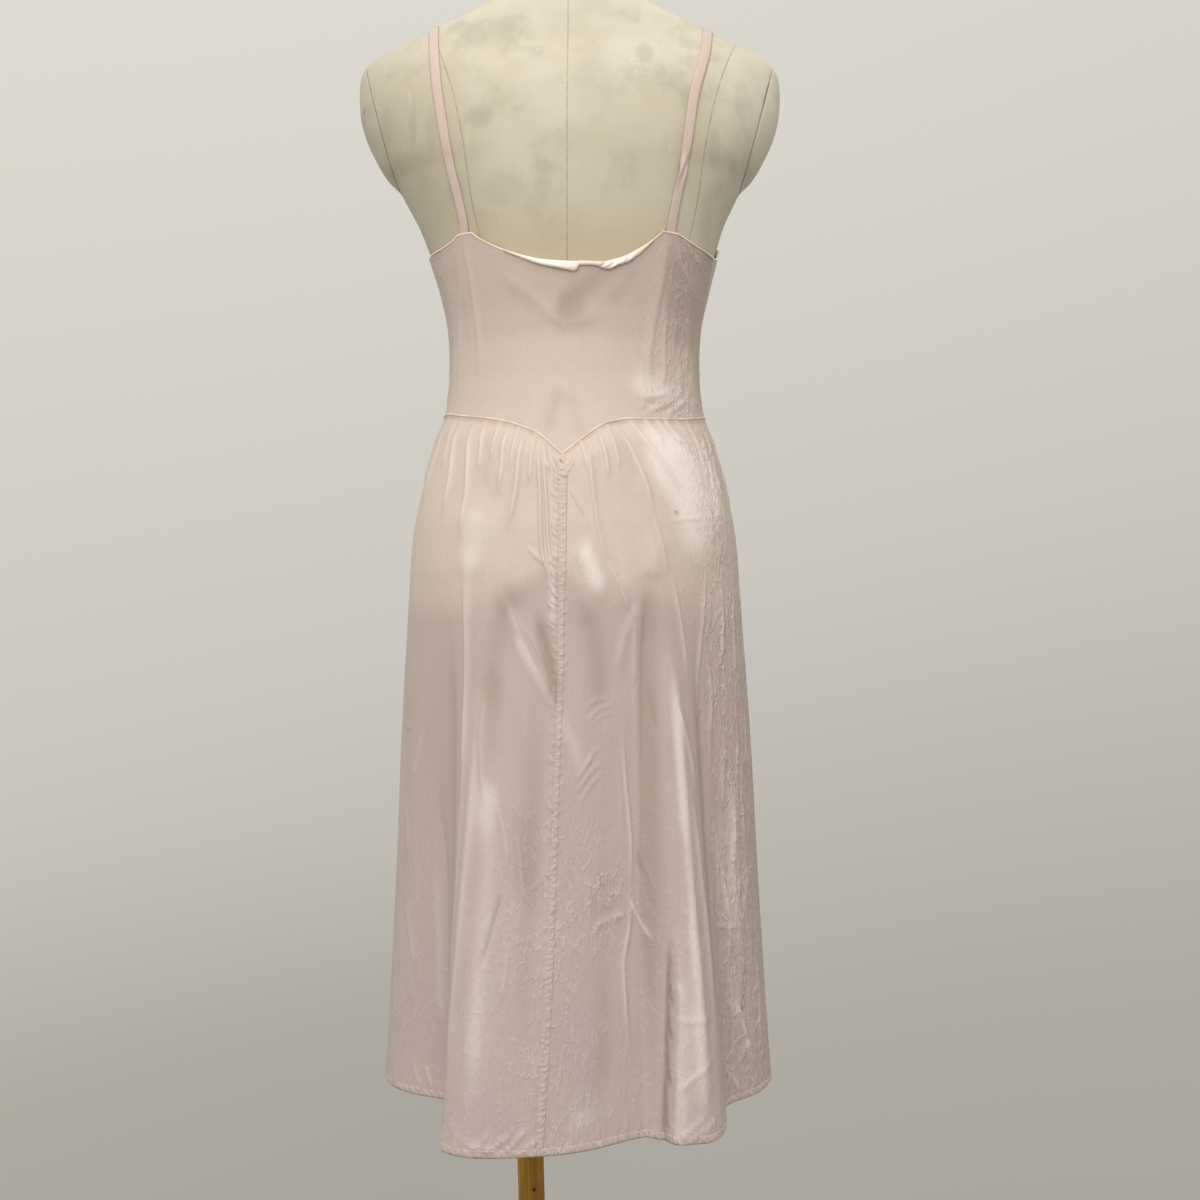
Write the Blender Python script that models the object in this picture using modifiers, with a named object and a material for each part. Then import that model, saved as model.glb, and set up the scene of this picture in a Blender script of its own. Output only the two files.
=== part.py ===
"""Slip dress resting on a limbless dress form with a pole and a round foot.

Metres, +Z up. The origin lies under the form's axis, on the underside of the foot.
The garment's back faces +Y and the wearer's left side is +X. Angles in the tables
are degrees round the axis from +X: 90 is the centre back, 270 the centre front.
Heights and other lengths in the tables are millimetres.
"""

import math
from collections import namedtuple

import bmesh
import bpy
import numpy as np
from mathutils import Matrix, Vector
from mathutils.bvhtree import BVHTree

MM = 0.001

# cloth and seams
CLOTH = 1.4 * MM            # wall of every cut panel
FACING_CLOTH = 1.0 * MM     # wall of the narrow neck facing
FACING_SLOPE = 0.15 * MM    # what the panel's slope takes from the gap under it
STRAP_CLOTH = 1.2 * MM
STRAP_WIDTH = 10.0 * MM
STRAP_CLEAR = 0.8 * MM      # strap above the form's canvas
STRAP_END_SLOPE = 0.3 * MM  # what the slant of the two walls takes from the gap at a peak
SEAM_GAP = 0.3 * MM         # between neighbouring pieces
PANEL_GAP = 0.5 * MM        # between two panels' middles, so that their slanting rims keep SEAM_GAP
WAIST_GAP = 0.7 * MM        # the same between the bodice and the gathered skirt
EASE = 2.8 * MM             # middle of a panel's wall above the form
FRONT_EASE = 1.6 * MM       # more of it across the front
SOFTEN = 2.0 * MM           # rounding where a fold meets the form

# seams round the body, in degrees
SIDE_SEAM_LEFT = -4.0
SIDE_SEAM_RIGHT = 176.0
CENTRE_BACK_TOP = 85.2
CENTRE_BACK_HEM = 81.2
CENTRE_BACK_STRAIGHT = 750.0        # above this height the seam runs straight down

# skirt
SKIRT_ROUNDNESS = 2.1
HEM_HEIGHT = 341.0
HEM_TURNING = 8.0           # depth of the narrow turned hem
HEM_RISE = 0.5              # how far the turned hem stands proud
GATHER_SPREAD = 1.9         # degrees
GATHER_TOP = 10.0           # a gather reaches its full rise this far under the seam
GATHER_ZONE = 25.0          # skirt leaves the seam's line over this depth
PANEL_COLUMNS = {"skirt_back_left": 44, "skirt_back_right": 46, "skirt_front": 90}
UPPER_ROWS = (0.0, 7.0, 22.0, 45.0, 80.0)       # below the waist seam
LOWER_ROWS = (0.06, 0.12, 0.19, 0.29, 0.42, 0.56, 0.71, 0.86, 1.0)

# dress form
FORM_ROUNDNESS = 2.2                # 2 is an ellipse, more is squarer
FORM_COLUMNS = 48
SWAY = 4.5                          # the shoulders sit this far to the wearer's left
SWAY_FROM = 1105.0
SWAY_TO = 1230.0
BUST_HEIGHT = 1135.0
BUST_RISE = 30.0
BUST_ANGLES = (236.0, 304.0)
BUST_SPREAD = 21.0
BUST_ABOVE = 62.0
BUST_BELOW = 40.0
CAP_SEAM_TOP = (200.0, 1339.0)      # across and up, on the wearer's left
CAP_SEAM_FOOT = (169.0, 1220.0)

# stand
POLE_RADIUS = 13.25 * MM
POLE_AT_HEM = (43.4, 234.0)         # across and up, a point on the pole's middle line
POLE_LEAN = 0.028                   # across for each unit up
FOOT_RADIUS = 200.0
BOSS_HEIGHT = 50.0

FormSection = namedtuple("FormSection", "height half_width back front")
FORM_SECTIONS = (
    FormSection(792, 138, 92, 88),
    FormSection(800, 149, 104, 100),
    FormSection(820, 156, 114, 107),
    FormSection(850, 157.5, 120, 109),
    FormSection(880, 155, 121, 109),
    FormSection(910, 149, 116, 107),
    FormSection(940, 141, 107, 103),
    FormSection(970, 132, 96, 98),
    FormSection(1000, 125, 87, 94),
    FormSection(1030, 122, 82, 92),
    FormSection(1055, 121.5, 81, 92),
    FormSection(1080, 123, 84, 95),
    FormSection(1110, 129, 91, 100),
    FormSection(1140, 137, 98, 105),
    FormSection(1160, 143, 102, 108),
    FormSection(1185, 152, 105, 108),
    FormSection(1209, 164, 106, 105),
    FormSection(1222, 171, 106, 103),
    FormSection(1235, 184, 105.5, 101),
    FormSection(1252, 194, 104, 98),
    FormSection(1272, 203, 101, 92),
    FormSection(1293, 208, 97, 84),
    FormSection(1313, 209, 90, 74),
    FormSection(1328, 208, 83, 66),
    FormSection(1340, 201, 77, 60),
    FormSection(1350, 182, 74, 57),
    FormSection(1361, 159, 71, 55),
    FormSection(1375, 128, 69, 54),
    FormSection(1390, 95, 67, 55),
    FormSection(1404, 72, 65, 56),
    FormSection(1421, 62, 62, 56),
    FormSection(1446, 57, 59, 56),
    FormSection(1490, 56, 58, 57),
    FormSection(1499, 52, 54, 53),
)

SkirtSection = namedtuple("SkirtSection", "height half_width back front")
SKIRT_SECTIONS = (
    SkirtSection(341, 190, 181, 168),
    SkirtSection(440, 184, 169, 158),
    SkirtSection(556, 178, 153, 146),
    SkirtSection(671, 173, 141, 134),
    SkirtSection(770, 167, 132, 123),
    SkirtSection(853, 160.5, 126.5, 116),
    SkirtSection(920, 149.5, 121, 111.5),
    SkirtSection(965, 137.5, 108, 105),
    SkirtSection(1005, 128, 91, 98),
)

# Drapes of the skirt. `rise` is outward at the hem, `before` and `after` are the widths
# towards smaller and larger angles, and each drape grows from `start` down to the hem.
Drape = namedtuple("Drape", "start_angle hem_angle start rise before after")
DRAPES = (
    Drape(30, 32, 840, -55, 17, 15),        # deep tuck behind the left back roll
    Drape(54.5, 58, 860, 21, 5, 18),        # left back roll, with a steep inner edge
    Drape(112, 114, 830, -26, 20, 5),       # trough beside the right back roll
    Drape(121, 129, 940, 10, 5, 9),         # right back roll
    Drape(146, 151, 905, -26, 11, 12),      # trough behind it, at the side
    Drape(176, 178, 800, 5, 9, 10),
    Drape(205, 203, 860, -20, 11, 12),      # front drapes
    Drape(223, 222, 800, 8, 9, 9),
    Drape(246, 243, 820, -25, 13, 9),
    Drape(266, 264, 780, 7, 10, 12),
    Drape(288, 287, 840, -21, 9, 14),
    Drape(306, 308, 800, 9, 10, 8),
    Drape(324, 328, 850, -24, 9, 13),
)

# Gathers under the waist seam: where, how high, and how far down they run.
Gather = namedtuple("Gather", "angle rise length")
BACK_GATHERS = (
    Gather(10, 2.0, 60),
    Gather(18, 2.6, 90),
    Gather(24, 2.0, 55),
    Gather(30, 3.0, 110),
    Gather(36, 3.0, 130),
    Gather(42, 2.4, 75),
    Gather(48, 2.6, 90),
    Gather(54, 3.0, 120),
    Gather(60, 2.4, 80),
    Gather(66, 2.8, 70),
    Gather(74, 3.8, 160),
    Gather(80, 3.4, 150),
    Gather(92, 2.4, 60),
    Gather(99, 3.4, 150),
    Gather(106, 2.2, 60),
    Gather(112, 3.2, 150),
    Gather(118, 2.6, 80),
    Gather(124, 3.4, 100),
    Gather(131, 2.8, 70),
    Gather(138, 3.0, 75),
    Gather(144, 2.2, 50),
    Gather(151, 2.8, 90),
    Gather(158, 2.6, 110),
    Gather(164, 2.2, 90),
    Gather(170, 2.4, 100),
)
FRONT_GATHER_COUNT = 22
FRONT_GATHER_RISES = (2.6, 3.2, 2.0, 2.9, 2.3)
FRONT_GATHER_LENGTHS = (80, 130, 60, 100, 150, 70, 110)

EdgePoint = namedtuple("EdgePoint", "angle height")
# The waist seam in three smooth stretches that meet at the point and the side seams.
WAIST_LEFT = (
    EdgePoint(-4, 994),
    EdgePoint(15, 993),
    EdgePoint(31, 987.5),
    EdgePoint(52, 980),
    EdgePoint(67, 971),
    EdgePoint(75, 963),
    EdgePoint(85.2, 946.5),
)
WAIST_RIGHT = (
    EdgePoint(85.2, 946.5),
    EdgePoint(92, 956.5),
    EdgePoint(98, 965),
    EdgePoint(103.5, 972),
    EdgePoint(108.4, 976.3),
    EdgePoint(120.6, 981),
    EdgePoint(133, 982),
    EdgePoint(147, 984),
    EdgePoint(160, 988),
    EdgePoint(176, 994),
)
WAIST_FRONT = (
    EdgePoint(176, 994),
    EdgePoint(225, 1003),
    EdgePoint(270, 1006),
    EdgePoint(315, 1003),
    EdgePoint(356, 994),
)

# Upper edges of the bodice. Each stretch is smooth, and a strap stands on each flat peak.
BACK_ARMHOLE_LEFT = (
    EdgePoint(-4, 1152),
    EdgePoint(7, 1149),
    EdgePoint(22, 1148),
    EdgePoint(31, 1151),
    EdgePoint(35, 1155),
)
BACK_NECK = (
    EdgePoint(42, 1155),
    EdgePoint(45, 1149),
    EdgePoint(53.5, 1138.5),
    EdgePoint(63, 1131),
    EdgePoint(76, 1125.5),
    EdgePoint(91, 1124),
    EdgePoint(105, 1124),
    EdgePoint(115, 1128),
    EdgePoint(124, 1137),
    EdgePoint(130, 1146),
    EdgePoint(134.5, 1155),
)
BACK_ARMHOLE_RIGHT = (
    EdgePoint(141.5, 1155),
    EdgePoint(154, 1148),
    EdgePoint(167, 1146),
    EdgePoint(176, 1151),
)
FRONT_ARMHOLE_RIGHT = (
    EdgePoint(176, 1151),
    EdgePoint(186, 1168),
    EdgePoint(205, 1182),
    EdgePoint(220, 1190),
    EdgePoint(232.5, 1200),
)
FRONT_NECK = (
    EdgePoint(237.5, 1200),
    EdgePoint(252, 1172),
    EdgePoint(270, 1158),
    EdgePoint(288, 1172),
    EdgePoint(302.5, 1200),
)
FRONT_ARMHOLE_LEFT = (
    EdgePoint(307.5, 1200),
    EdgePoint(320, 1190),
    EdgePoint(335, 1178),
    EdgePoint(348, 1163),
    EdgePoint(356, 1152),
)
BACK_PEAK_HEIGHT = 1155.0
FRONT_PEAK_HEIGHT = 1200.0

BODICE_SPACING = 5.0        # degrees between a bodice panel's columns
BODICE_BACK_ROWS = 8
BODICE_FRONT_ROWS = 10

# The neck facing: how far down from the neck edge it reaches.
FacingPoint = namedtuple("FacingPoint", "angle depth")
NECK_FACING = (
    FacingPoint(58, 2.5),
    FacingPoint(76, 4.5),
    FacingPoint(92, 7.0),
    FacingPoint(106, 7.0),
    FacingPoint(118, 5.5),
    FacingPoint(128, 2.5),
)

FACING_ROLL = 0.4

# A strap's way over the shoulder: `turn` goes from the back (0) over the top (90) to the front.
StrapPoint = namedtuple("StrapPoint", "turn across")
SHOULDER_CENTRE = (10.0, 1250.0)
STRAP_LEFT = (
    StrapPoint(-52, 101),
    StrapPoint(-25, 113),
    StrapPoint(4, 120.5),
    StrapPoint(61, 132),
    StrapPoint(90, 136),
    StrapPoint(125, 124),
    StrapPoint(165, 97),
    StrapPoint(200, 79.5),
)
STRAP_RIGHT = (
    StrapPoint(-52, 91.5),
    StrapPoint(-37, 98),
    StrapPoint(-12, 105.5),
    StrapPoint(22, 112.5),
    StrapPoint(61, 126.5),
    StrapPoint(90, 131),
    StrapPoint(125, 121),
    StrapPoint(165, 94),
    StrapPoint(200, 72.5),
)
STRAP_STEPS = 40
STRAP_END_SHARE = 0.12              # of its length, where it comes up to its peak
STRAP_PASSES = 4

FootPoint = namedtuple("FootPoint", "radius height")
FOOT_PROFILE = (
    FootPoint(0, BOSS_HEIGHT),
    FootPoint(21, BOSS_HEIGHT),
    FootPoint(24, BOSS_HEIGHT - 3),
    FootPoint(27, 34),
    FootPoint(48, 25),
    FootPoint(FOOT_RADIUS - 12, 19),
    FootPoint(FOOT_RADIUS - 3, 14),
    FootPoint(FOOT_RADIUS, 7),
    FootPoint(FOOT_RADIUS - 2, 0),
    FootPoint(0, 0),
)


def column(rows, name):
    """One named column of a table as an array."""
    return np.array([getattr(row, name) for row in rows], dtype=float)


def smooth_through(stations, values, at):
    """A smooth curve through the stations that never overshoots them."""
    steps = np.diff(stations)
    slopes = np.diff(values) / steps
    tangents = np.empty_like(values)
    tangents[0] = slopes[0]
    tangents[-1] = slopes[-1]
    same_way = slopes[:-1] * slopes[1:] > 0
    harmonic = 2 * slopes[:-1] * slopes[1:] / np.where(same_way, slopes[:-1] + slopes[1:], 1)
    tangents[1:-1] = np.where(same_way, harmonic, 0)
    at = np.clip(at, stations[0], stations[-1])
    place = np.clip(np.searchsorted(stations, at, side="right") - 1, 0, len(steps) - 1)
    share = (at - stations[place]) / steps[place]
    rise = values[place + 1] - values[place]
    start = tangents[place] * steps[place]
    finish = tangents[place + 1] * steps[place]
    bend = 3 * rise - 2 * start - finish
    curl = start + finish - 2 * rise
    return values[place] + share * (start + share * (bend + share * curl))


def read(rows, key, value, at):
    """The value column of a table at places along its key column."""
    return smooth_through(column(rows, key), column(rows, value), np.asarray(at, dtype=float))


def ease_in(share):
    share = np.clip(share, 0, 1)
    return share * share * (3 - 2 * share)


def wave(angle, centre, before, after):
    """A soft crest round `centre`, with its own width on each side."""
    away = (angle - centre + 180) % 360 - 180
    return np.exp(-((away / np.where(away < 0, before, after)) ** 2))


def oval_radius(rows, angle, height, roundness):
    """Distance from the axis to an oval section, in millimetres."""
    turn = np.radians(angle)
    depth = np.where(np.sin(turn) >= 0, read(rows, "height", "back", height), read(rows, "height", "front", height))
    across = np.abs(np.cos(turn)) / read(rows, "height", "half_width", height)
    along = np.abs(np.sin(turn)) / depth
    return (across ** roundness + along ** roundness) ** (-1 / roundness)


def form_radius(angle, height):
    """Surface of the dress form, in millimetres from the axis."""
    radius = oval_radius(FORM_SECTIONS, angle, height, FORM_ROUNDNESS)
    away = height - BUST_HEIGHT
    bust = np.exp(-((away / np.where(away > 0, BUST_ABOVE, BUST_BELOW)) ** 2))
    for centre in BUST_ANGLES:
        radius = radius + BUST_RISE * bust * wave(angle, centre, BUST_SPREAD, BUST_SPREAD)
    return radius


def stretch(angle, pieces):
    """The height of an edge made of smooth stretches, flat across the gaps between them."""
    height = np.full(np.shape(angle), np.nan)
    for piece in pieces:
        inside = (angle >= piece[0].angle) & (angle <= piece[-1].angle)
        height = np.where(inside, read(piece, "angle", "height", angle), height)
    for left, right in zip(pieces, pieces[1:]):
        between = (angle > left[-1].angle) & (angle < right[0].angle)
        height = np.where(between, left[-1].height, height)
    return height


def waist_height(angle):
    return stretch((angle + 4) % 360 - 4, (WAIST_LEFT, WAIST_RIGHT, WAIST_FRONT))


def back_edge(angle):
    return stretch(angle, (BACK_ARMHOLE_LEFT, BACK_NECK, BACK_ARMHOLE_RIGHT))


def front_edge(angle):
    return stretch(angle, (FRONT_ARMHOLE_RIGHT, FRONT_NECK, FRONT_ARMHOLE_LEFT))


def ease_at(angle):
    """Middle of a panel's wall above the form, which grows a little over the front."""
    over_bust = ease_in(-np.sin(np.radians(angle)) * 2)
    return (EASE + FRONT_EASE * over_bust) / MM


def bodice_radius(angle, height):
    return form_radius(angle, height) + ease_at(angle)


def waist_edge(angle, side):
    """Rim of a panel above (1) or below (-1) the waist seam, short of it by half the gap."""
    step = 0.5
    run = bodice_radius(angle, waist_height(angle)) * math.radians(2 * step)
    slope = (waist_height(angle + step) - waist_height(angle - step)) / run
    return waist_height(angle) + side * WAIST_GAP / MM / 2 * np.sqrt(1 + slope * slope)


def front_gathers():
    rows = []
    spacing = (360 - SIDE_SEAM_RIGHT + SIDE_SEAM_LEFT) / FRONT_GATHER_COUNT
    for number in range(FRONT_GATHER_COUNT):
        angle = SIDE_SEAM_RIGHT + spacing * (number + 0.5)
        rise = FRONT_GATHER_RISES[number % len(FRONT_GATHER_RISES)]
        length = FRONT_GATHER_LENGTHS[number % len(FRONT_GATHER_LENGTHS)]
        rows.append(Gather(angle, rise, length))
    return tuple(rows)


GATHERS = BACK_GATHERS + front_gathers()


def form_limit(angle, height):
    """The closest that the skirt comes to the axis: on the form, or free below it."""
    free = ease_in((FORM_SECTIONS[0].height + 10 - height) / 90)
    return (form_radius(angle, height) + EASE / MM) * (1 - 0.5 * free)


def skirt_radius(angle, height):
    """Middle of the skirt's wall, in millimetres from the axis."""
    below = waist_height(angle) - height
    radius = oval_radius(SKIRT_SECTIONS, angle, height, SKIRT_ROUNDNESS)
    for drape in DRAPES:
        share = np.clip((drape.start - height) / (drape.start - HEM_HEIGHT), 0, 1)
        centre = drape.start_angle + (drape.hem_angle - drape.start_angle) * share
        radius = radius + drape.rise * share * wave(angle, centre, drape.before, drape.after)
    for gather in GATHERS:
        fade = ease_in(below / GATHER_TOP) * (1 - ease_in(below / gather.length))
        radius = radius + gather.rise * fade * wave(angle, gather.angle, GATHER_SPREAD, GATHER_SPREAD)
    limit = form_limit(angle, height)
    over = radius - limit
    soften = SOFTEN / MM
    radius = limit + 0.5 * (over + np.sqrt(over * over + soften * soften))
    radius = radius + HEM_RISE * (height < HEM_HEIGHT + HEM_TURNING - 0.5)
    at_seam = bodice_radius(angle, height)
    return at_seam + (radius - at_seam) * ease_in(below / GATHER_ZONE)


def on_ring(angle, height, radius):
    """World points from degrees round the axis and millimetres."""
    turn = np.radians(angle)
    sway = SWAY * ease_in((height - SWAY_FROM) / (SWAY_TO - SWAY_FROM))
    return np.stack([radius * np.cos(turn) + sway, radius * np.sin(turn), height], axis=-1) * MM


def between_seams(share, start, end, radius_at):
    """Angles from one seam to the next, half a seam gap short of each."""
    angle = start + (end - start) * share
    inset = np.degrees(PANEL_GAP / MM / 2 / radius_at)
    return np.clip(angle, np.minimum(start, end) + inset, np.maximum(start, end) - inset)


def knit(rows):
    """Faces between rows of points, where a row may hold every second point of the one above."""
    faces = []
    first = 0
    for upper, lower in zip(rows, rows[1:]):
        second = first + len(upper)
        if len(upper) == len(lower):
            for k in range(len(upper) - 1):
                faces.append((first + k, second + k, second + k + 1, first + k + 1))
        else:
            for k in range(len(lower) - 1):
                top = first + 2 * k
                faces.append((top, second + k, top + 1))
                faces.append((top + 1, second + k, second + k + 1))
                faces.append((top + 1, second + k + 1, top + 2))
        first = second
    return faces


def principled(name, colour, roughness, metallic=0.0):
    material = bpy.data.materials.new(name)
    material.use_nodes = True
    shader = material.node_tree.nodes["Principled BSDF"]
    shader.inputs["Base Color"].default_value = (*colour, 1.0)
    shader.inputs["Roughness"].default_value = roughness
    shader.inputs["Metallic"].default_value = metallic
    material.diffuse_color = (*colour, 1.0)
    return material


def new_object(name, mesh, collection, material):
    piece = bpy.data.objects.new(name, mesh)
    collection.objects.link(piece)
    mesh.materials.append(material)
    return piece


def new_panel(name, rows, wall, collection, material):
    """A cloth panel: an open surface through rows of points, with its wall to both sides."""
    mesh = bpy.data.meshes.new(name)
    points = [tuple(point) for row in rows for point in row]
    mesh.from_pydata(points, [], knit(rows))
    mesh.shade_smooth()
    piece = new_object(name, mesh, collection, material)
    solidify = piece.modifiers.new("wall", "SOLIDIFY")
    solidify.thickness = wall
    solidify.offset = 0.0
    return piece


def skirt_rows(start_of, end_of, columns):
    """Rows of a skirt panel: close together in the gathers, sparser below them."""
    fine = np.linspace(0, 1, columns + 1)
    levels = [(fine, drop, 0.0) for drop in UPPER_ROWS]
    levels += [(fine[::2], UPPER_ROWS[-1], low) for low in LOWER_ROWS]
    rows = []
    for share, drop, low in levels:
        rows.append(skirt_row(start_of, end_of, share, drop, low, 0.0))
    rows.append(skirt_row(start_of, end_of, fine[::2], UPPER_ROWS[-1], 1.0, HEM_TURNING))
    return rows


def skirt_row(start_of, end_of, share, drop, low, turning):
    """One row of a panel: `drop` below the seam, then the share `low` of the rest to the hem."""
    middle = HEM_HEIGHT + (waist_height(CENTRE_BACK_TOP) - drop - HEM_HEIGHT) * (1 - low)
    start = start_of(middle)
    end = end_of(middle)
    angle = start + (end - start) * share
    top = waist_edge(angle, -1) - drop
    height = top + (HEM_HEIGHT + HEM_TURNING - top) * low - turning
    angle = between_seams(share, start, end, skirt_radius(angle, height))
    return on_ring(angle, height, skirt_radius(angle, height))


def centre_back(height):
    """Angle of the centre back seam, which drifts to the wearer's left on its way down."""
    way = (CENTRE_BACK_STRAIGHT - height) / (CENTRE_BACK_STRAIGHT - HEM_HEIGHT)
    return CENTRE_BACK_TOP + (CENTRE_BACK_HEM - CENTRE_BACK_TOP) * np.clip(way, 0, 1)


def left_side(height):
    return SIDE_SEAM_LEFT


def right_side(height):
    return SIDE_SEAM_RIGHT


def left_side_from_front(height):
    return 360 + SIDE_SEAM_LEFT


def make_skirt(collection, material):
    panels = (
        ("skirt_back_left", left_side, centre_back),
        ("skirt_back_right", centre_back, right_side),
        ("skirt_front", right_side, left_side_from_front),
    )
    for name, start_of, end_of in panels:
        rows = skirt_rows(start_of, end_of, PANEL_COLUMNS[name])
        new_panel(name, rows, CLOTH, collection, material)


def bodice_rows(angles, edge_of, down):
    start = angles[0]
    end = angles[-1]
    share = (angles - start) / (end - start)
    rows = []
    for depth in np.linspace(0, 1, down + 1):
        top = edge_of(angles)
        foot = waist_edge(angles, 1)
        height = top + (foot - top) * depth
        angle = between_seams(share, start, end, bodice_radius(angles, height))
        rows.append(on_ring(angle, height, bodice_radius(angle, height)))
    return rows


def columns_through(corners):
    """Angles that pass through every corner, with even steps of about BODICE_SPACING between."""
    angles = [corners[0]]
    for start, end in zip(corners, corners[1:]):
        steps = max(1, round((end - start) / BODICE_SPACING))
        angles.extend(np.linspace(start, end, steps + 1)[1:])
    return np.array(angles)


def make_bodice(collection, material, facing_material):
    back_corners = (
        SIDE_SEAM_LEFT,
        BACK_ARMHOLE_LEFT[-1].angle,
        BACK_NECK[0].angle,
        CENTRE_BACK_TOP,
        BACK_NECK[-1].angle,
        BACK_ARMHOLE_RIGHT[0].angle,
        SIDE_SEAM_RIGHT,
    )
    front_corners = (
        SIDE_SEAM_RIGHT,
        FRONT_ARMHOLE_RIGHT[-1].angle,
        FRONT_NECK[0].angle,
        FRONT_NECK[-1].angle,
        FRONT_ARMHOLE_LEFT[0].angle,
        360 + SIDE_SEAM_LEFT,
    )
    back = bodice_rows(columns_through(back_corners), back_edge, BODICE_BACK_ROWS)
    new_panel("bodice_back", back, CLOTH, collection, material)
    front = bodice_rows(columns_through(front_corners), front_edge, BODICE_FRONT_ROWS)
    new_panel("bodice_front", front, CLOTH, collection, material)

    angles = columns_through((NECK_FACING[0].angle, NECK_FACING[-1].angle))
    rows = []
    out = (CLOTH / 2 + SEAM_GAP + FACING_SLOPE + FACING_CLOTH / 2) / MM
    for share in (0.0, 0.5, 1.0):
        height = back_edge(angles) - share * read(NECK_FACING, "angle", "depth", angles)
        roll = FACING_ROLL * math.sin(math.pi * share)
        rows.append(on_ring(angles, height, bodice_radius(angles, height) + out + roll))
    new_panel("neck_facing", rows, FACING_CLOTH, collection, facing_material)


def form_mesh():
    """The whole form as one closed loft, with its shoulder caps still on it."""
    heights = column(FORM_SECTIONS, "height")
    angles = np.arange(FORM_COLUMNS) * 360 / FORM_COLUMNS
    points = []
    for height in heights:
        level = np.full(FORM_COLUMNS, height)
        points.extend(tuple(point) for point in on_ring(angles, level, form_radius(angles, level)))
    faces = []
    for ring in range(len(heights) - 1):
        for k in range(FORM_COLUMNS):
            here = ring * FORM_COLUMNS + k
            beside = ring * FORM_COLUMNS + (k + 1) % FORM_COLUMNS
            faces.append((here, beside, beside + FORM_COLUMNS, here + FORM_COLUMNS))
    last = (len(heights) - 1) * FORM_COLUMNS
    faces.append(tuple(range(FORM_COLUMNS - 1, -1, -1)))
    faces.append(tuple(range(last, last + FORM_COLUMNS)))
    mesh = bpy.data.meshes.new("form")
    mesh.from_pydata(points, [], faces)
    mesh.shade_smooth()
    return mesh


def cap_cutter(side, gap, collection):
    """A block whose inner face is the seam between the form and one shoulder cap."""
    top = Vector((side * CAP_SEAM_TOP[0] + SWAY, 0, CAP_SEAM_TOP[1])) * MM
    foot = Vector((side * CAP_SEAM_FOOT[0] + SWAY, 0, CAP_SEAM_FOOT[1])) * MM
    lean = math.atan2(top.x - foot.x, top.z - foot.z)
    bpy.ops.mesh.primitive_cube_add(size=1.0)
    cutter = bpy.context.object
    for owner in list(cutter.users_collection):
        owner.objects.unlink(cutter)
    collection.objects.link(cutter)
    width = 0.1
    cutter.name = "cap_cut_" + ("left" if side > 0 else "right") + ("_outer" if gap else "_inner")
    cutter.data.transform(Matrix.Diagonal((width, 0.4, 0.19, 1)))
    cutter.rotation_euler = (0, lean, 0)
    across = Vector((math.cos(lean), 0, -math.sin(lean))) * side * (width / 2 + gap)
    cutter.location = (top + foot) / 2 + across
    cutter.hide_render = True
    cutter.display_type = "WIRE"
    return cutter


def cut(piece, cutter, operation):
    boolean = piece.modifiers.new("cap seam", "BOOLEAN")
    boolean.operation = operation
    boolean.solver = "EXACT"
    boolean.object = cutter


def make_form(collection, cutters, material):
    torso = new_object("form_torso", form_mesh(), collection, material)
    for side, name in ((1, "form_cap_left"), (-1, "form_cap_right")):
        cut(torso, cap_cutter(side, 0.0, cutters), "DIFFERENCE")
        cap = new_object(name, form_mesh(), collection, material)
        cut(cap, cap_cutter(side, SEAM_GAP, cutters), "INTERSECT")


def form_surface():
    """The form's faces, to lay the straps on."""
    surface = bmesh.new()
    mesh = form_mesh()
    surface.from_mesh(mesh)
    bmesh.ops.triangulate(surface, faces=surface.faces)
    tree = BVHTree.FromBMesh(surface)
    surface.free()
    bpy.data.meshes.remove(mesh)
    return tree


def on_shoulder(tree, turn, across):
    """Point and outward direction on the form, seen from inside the shoulder."""
    centre = Vector((across, SHOULDER_CENTRE[0], SHOULDER_CENTRE[1])) * MM
    way = Vector((0, math.cos(math.radians(turn)), math.sin(math.radians(turn))))
    point, normal, _, _ = tree.ray_cast(centre, way)
    return point, normal if normal.dot(way) > 0 else -normal


def turn_at_height(tree, rows, side, start, end, lift, height):
    """The turn between start and end where a line `lift` above the form passes a height."""
    for _ in range(40):
        middle = (start + end) / 2
        across = side * float(read(rows, "turn", "across", middle))
        point, normal = on_shoulder(tree, middle, across)
        if (point + normal * lift).z < height:
            start = middle
        else:
            end = middle
    return (start + end) / 2


def make_strap(name, rows, side, tree, collection, material):
    above = SEAM_GAP + STRAP_END_SLOPE
    front_ease = EASE + FRONT_EASE
    first = turn_at_height(tree, rows, side, -60, 30, EASE, BACK_PEAK_HEIGHT * MM + above)
    last = turn_at_height(tree, rows, side, 215, 120, front_ease, FRONT_PEAK_HEIGHT * MM + above)
    lines = []
    for number in range(STRAP_STEPS + 1):
        share = number / STRAP_STEPS
        turn = first + (last - first) * share
        point, normal = on_shoulder(tree, turn, side * float(read(rows, "turn", "across", turn)))
        near_end = 1 - min(share, 1 - share) / STRAP_END_SHARE
        end_lift = EASE if share < 0.5 else front_ease
        lift = STRAP_CLEAR + STRAP_CLOTH / 2
        lift += (end_lift - lift) * float(ease_in(near_end))
        middle = point + normal * lift
        sideways = (Vector((1, 0, 0)) - normal * normal.x).normalized()
        half = sideways * STRAP_WIDTH / 2
        lines.append((middle + half, middle - half))
    lift_over_edges(tree, lines)
    level_ends(lines)
    new_panel(name, lines, STRAP_CLOTH, collection, material)


def lift_over_edges(tree, lines):
    """Raise the strap where a straight run between two lines would cut the form."""
    wanted = STRAP_CLEAR + STRAP_CLOTH / 2
    for _ in range(STRAP_PASSES):
        for before, after in zip(lines, lines[1:]):
            for left, right in zip(before, after):
                middle = (left + right) / 2
                near, normal, _, _ = tree.find_nearest(middle)
                short = wanted - (middle - near).dot(normal)
                if short > 0:
                    left += normal * short
                    right += normal * short


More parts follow.
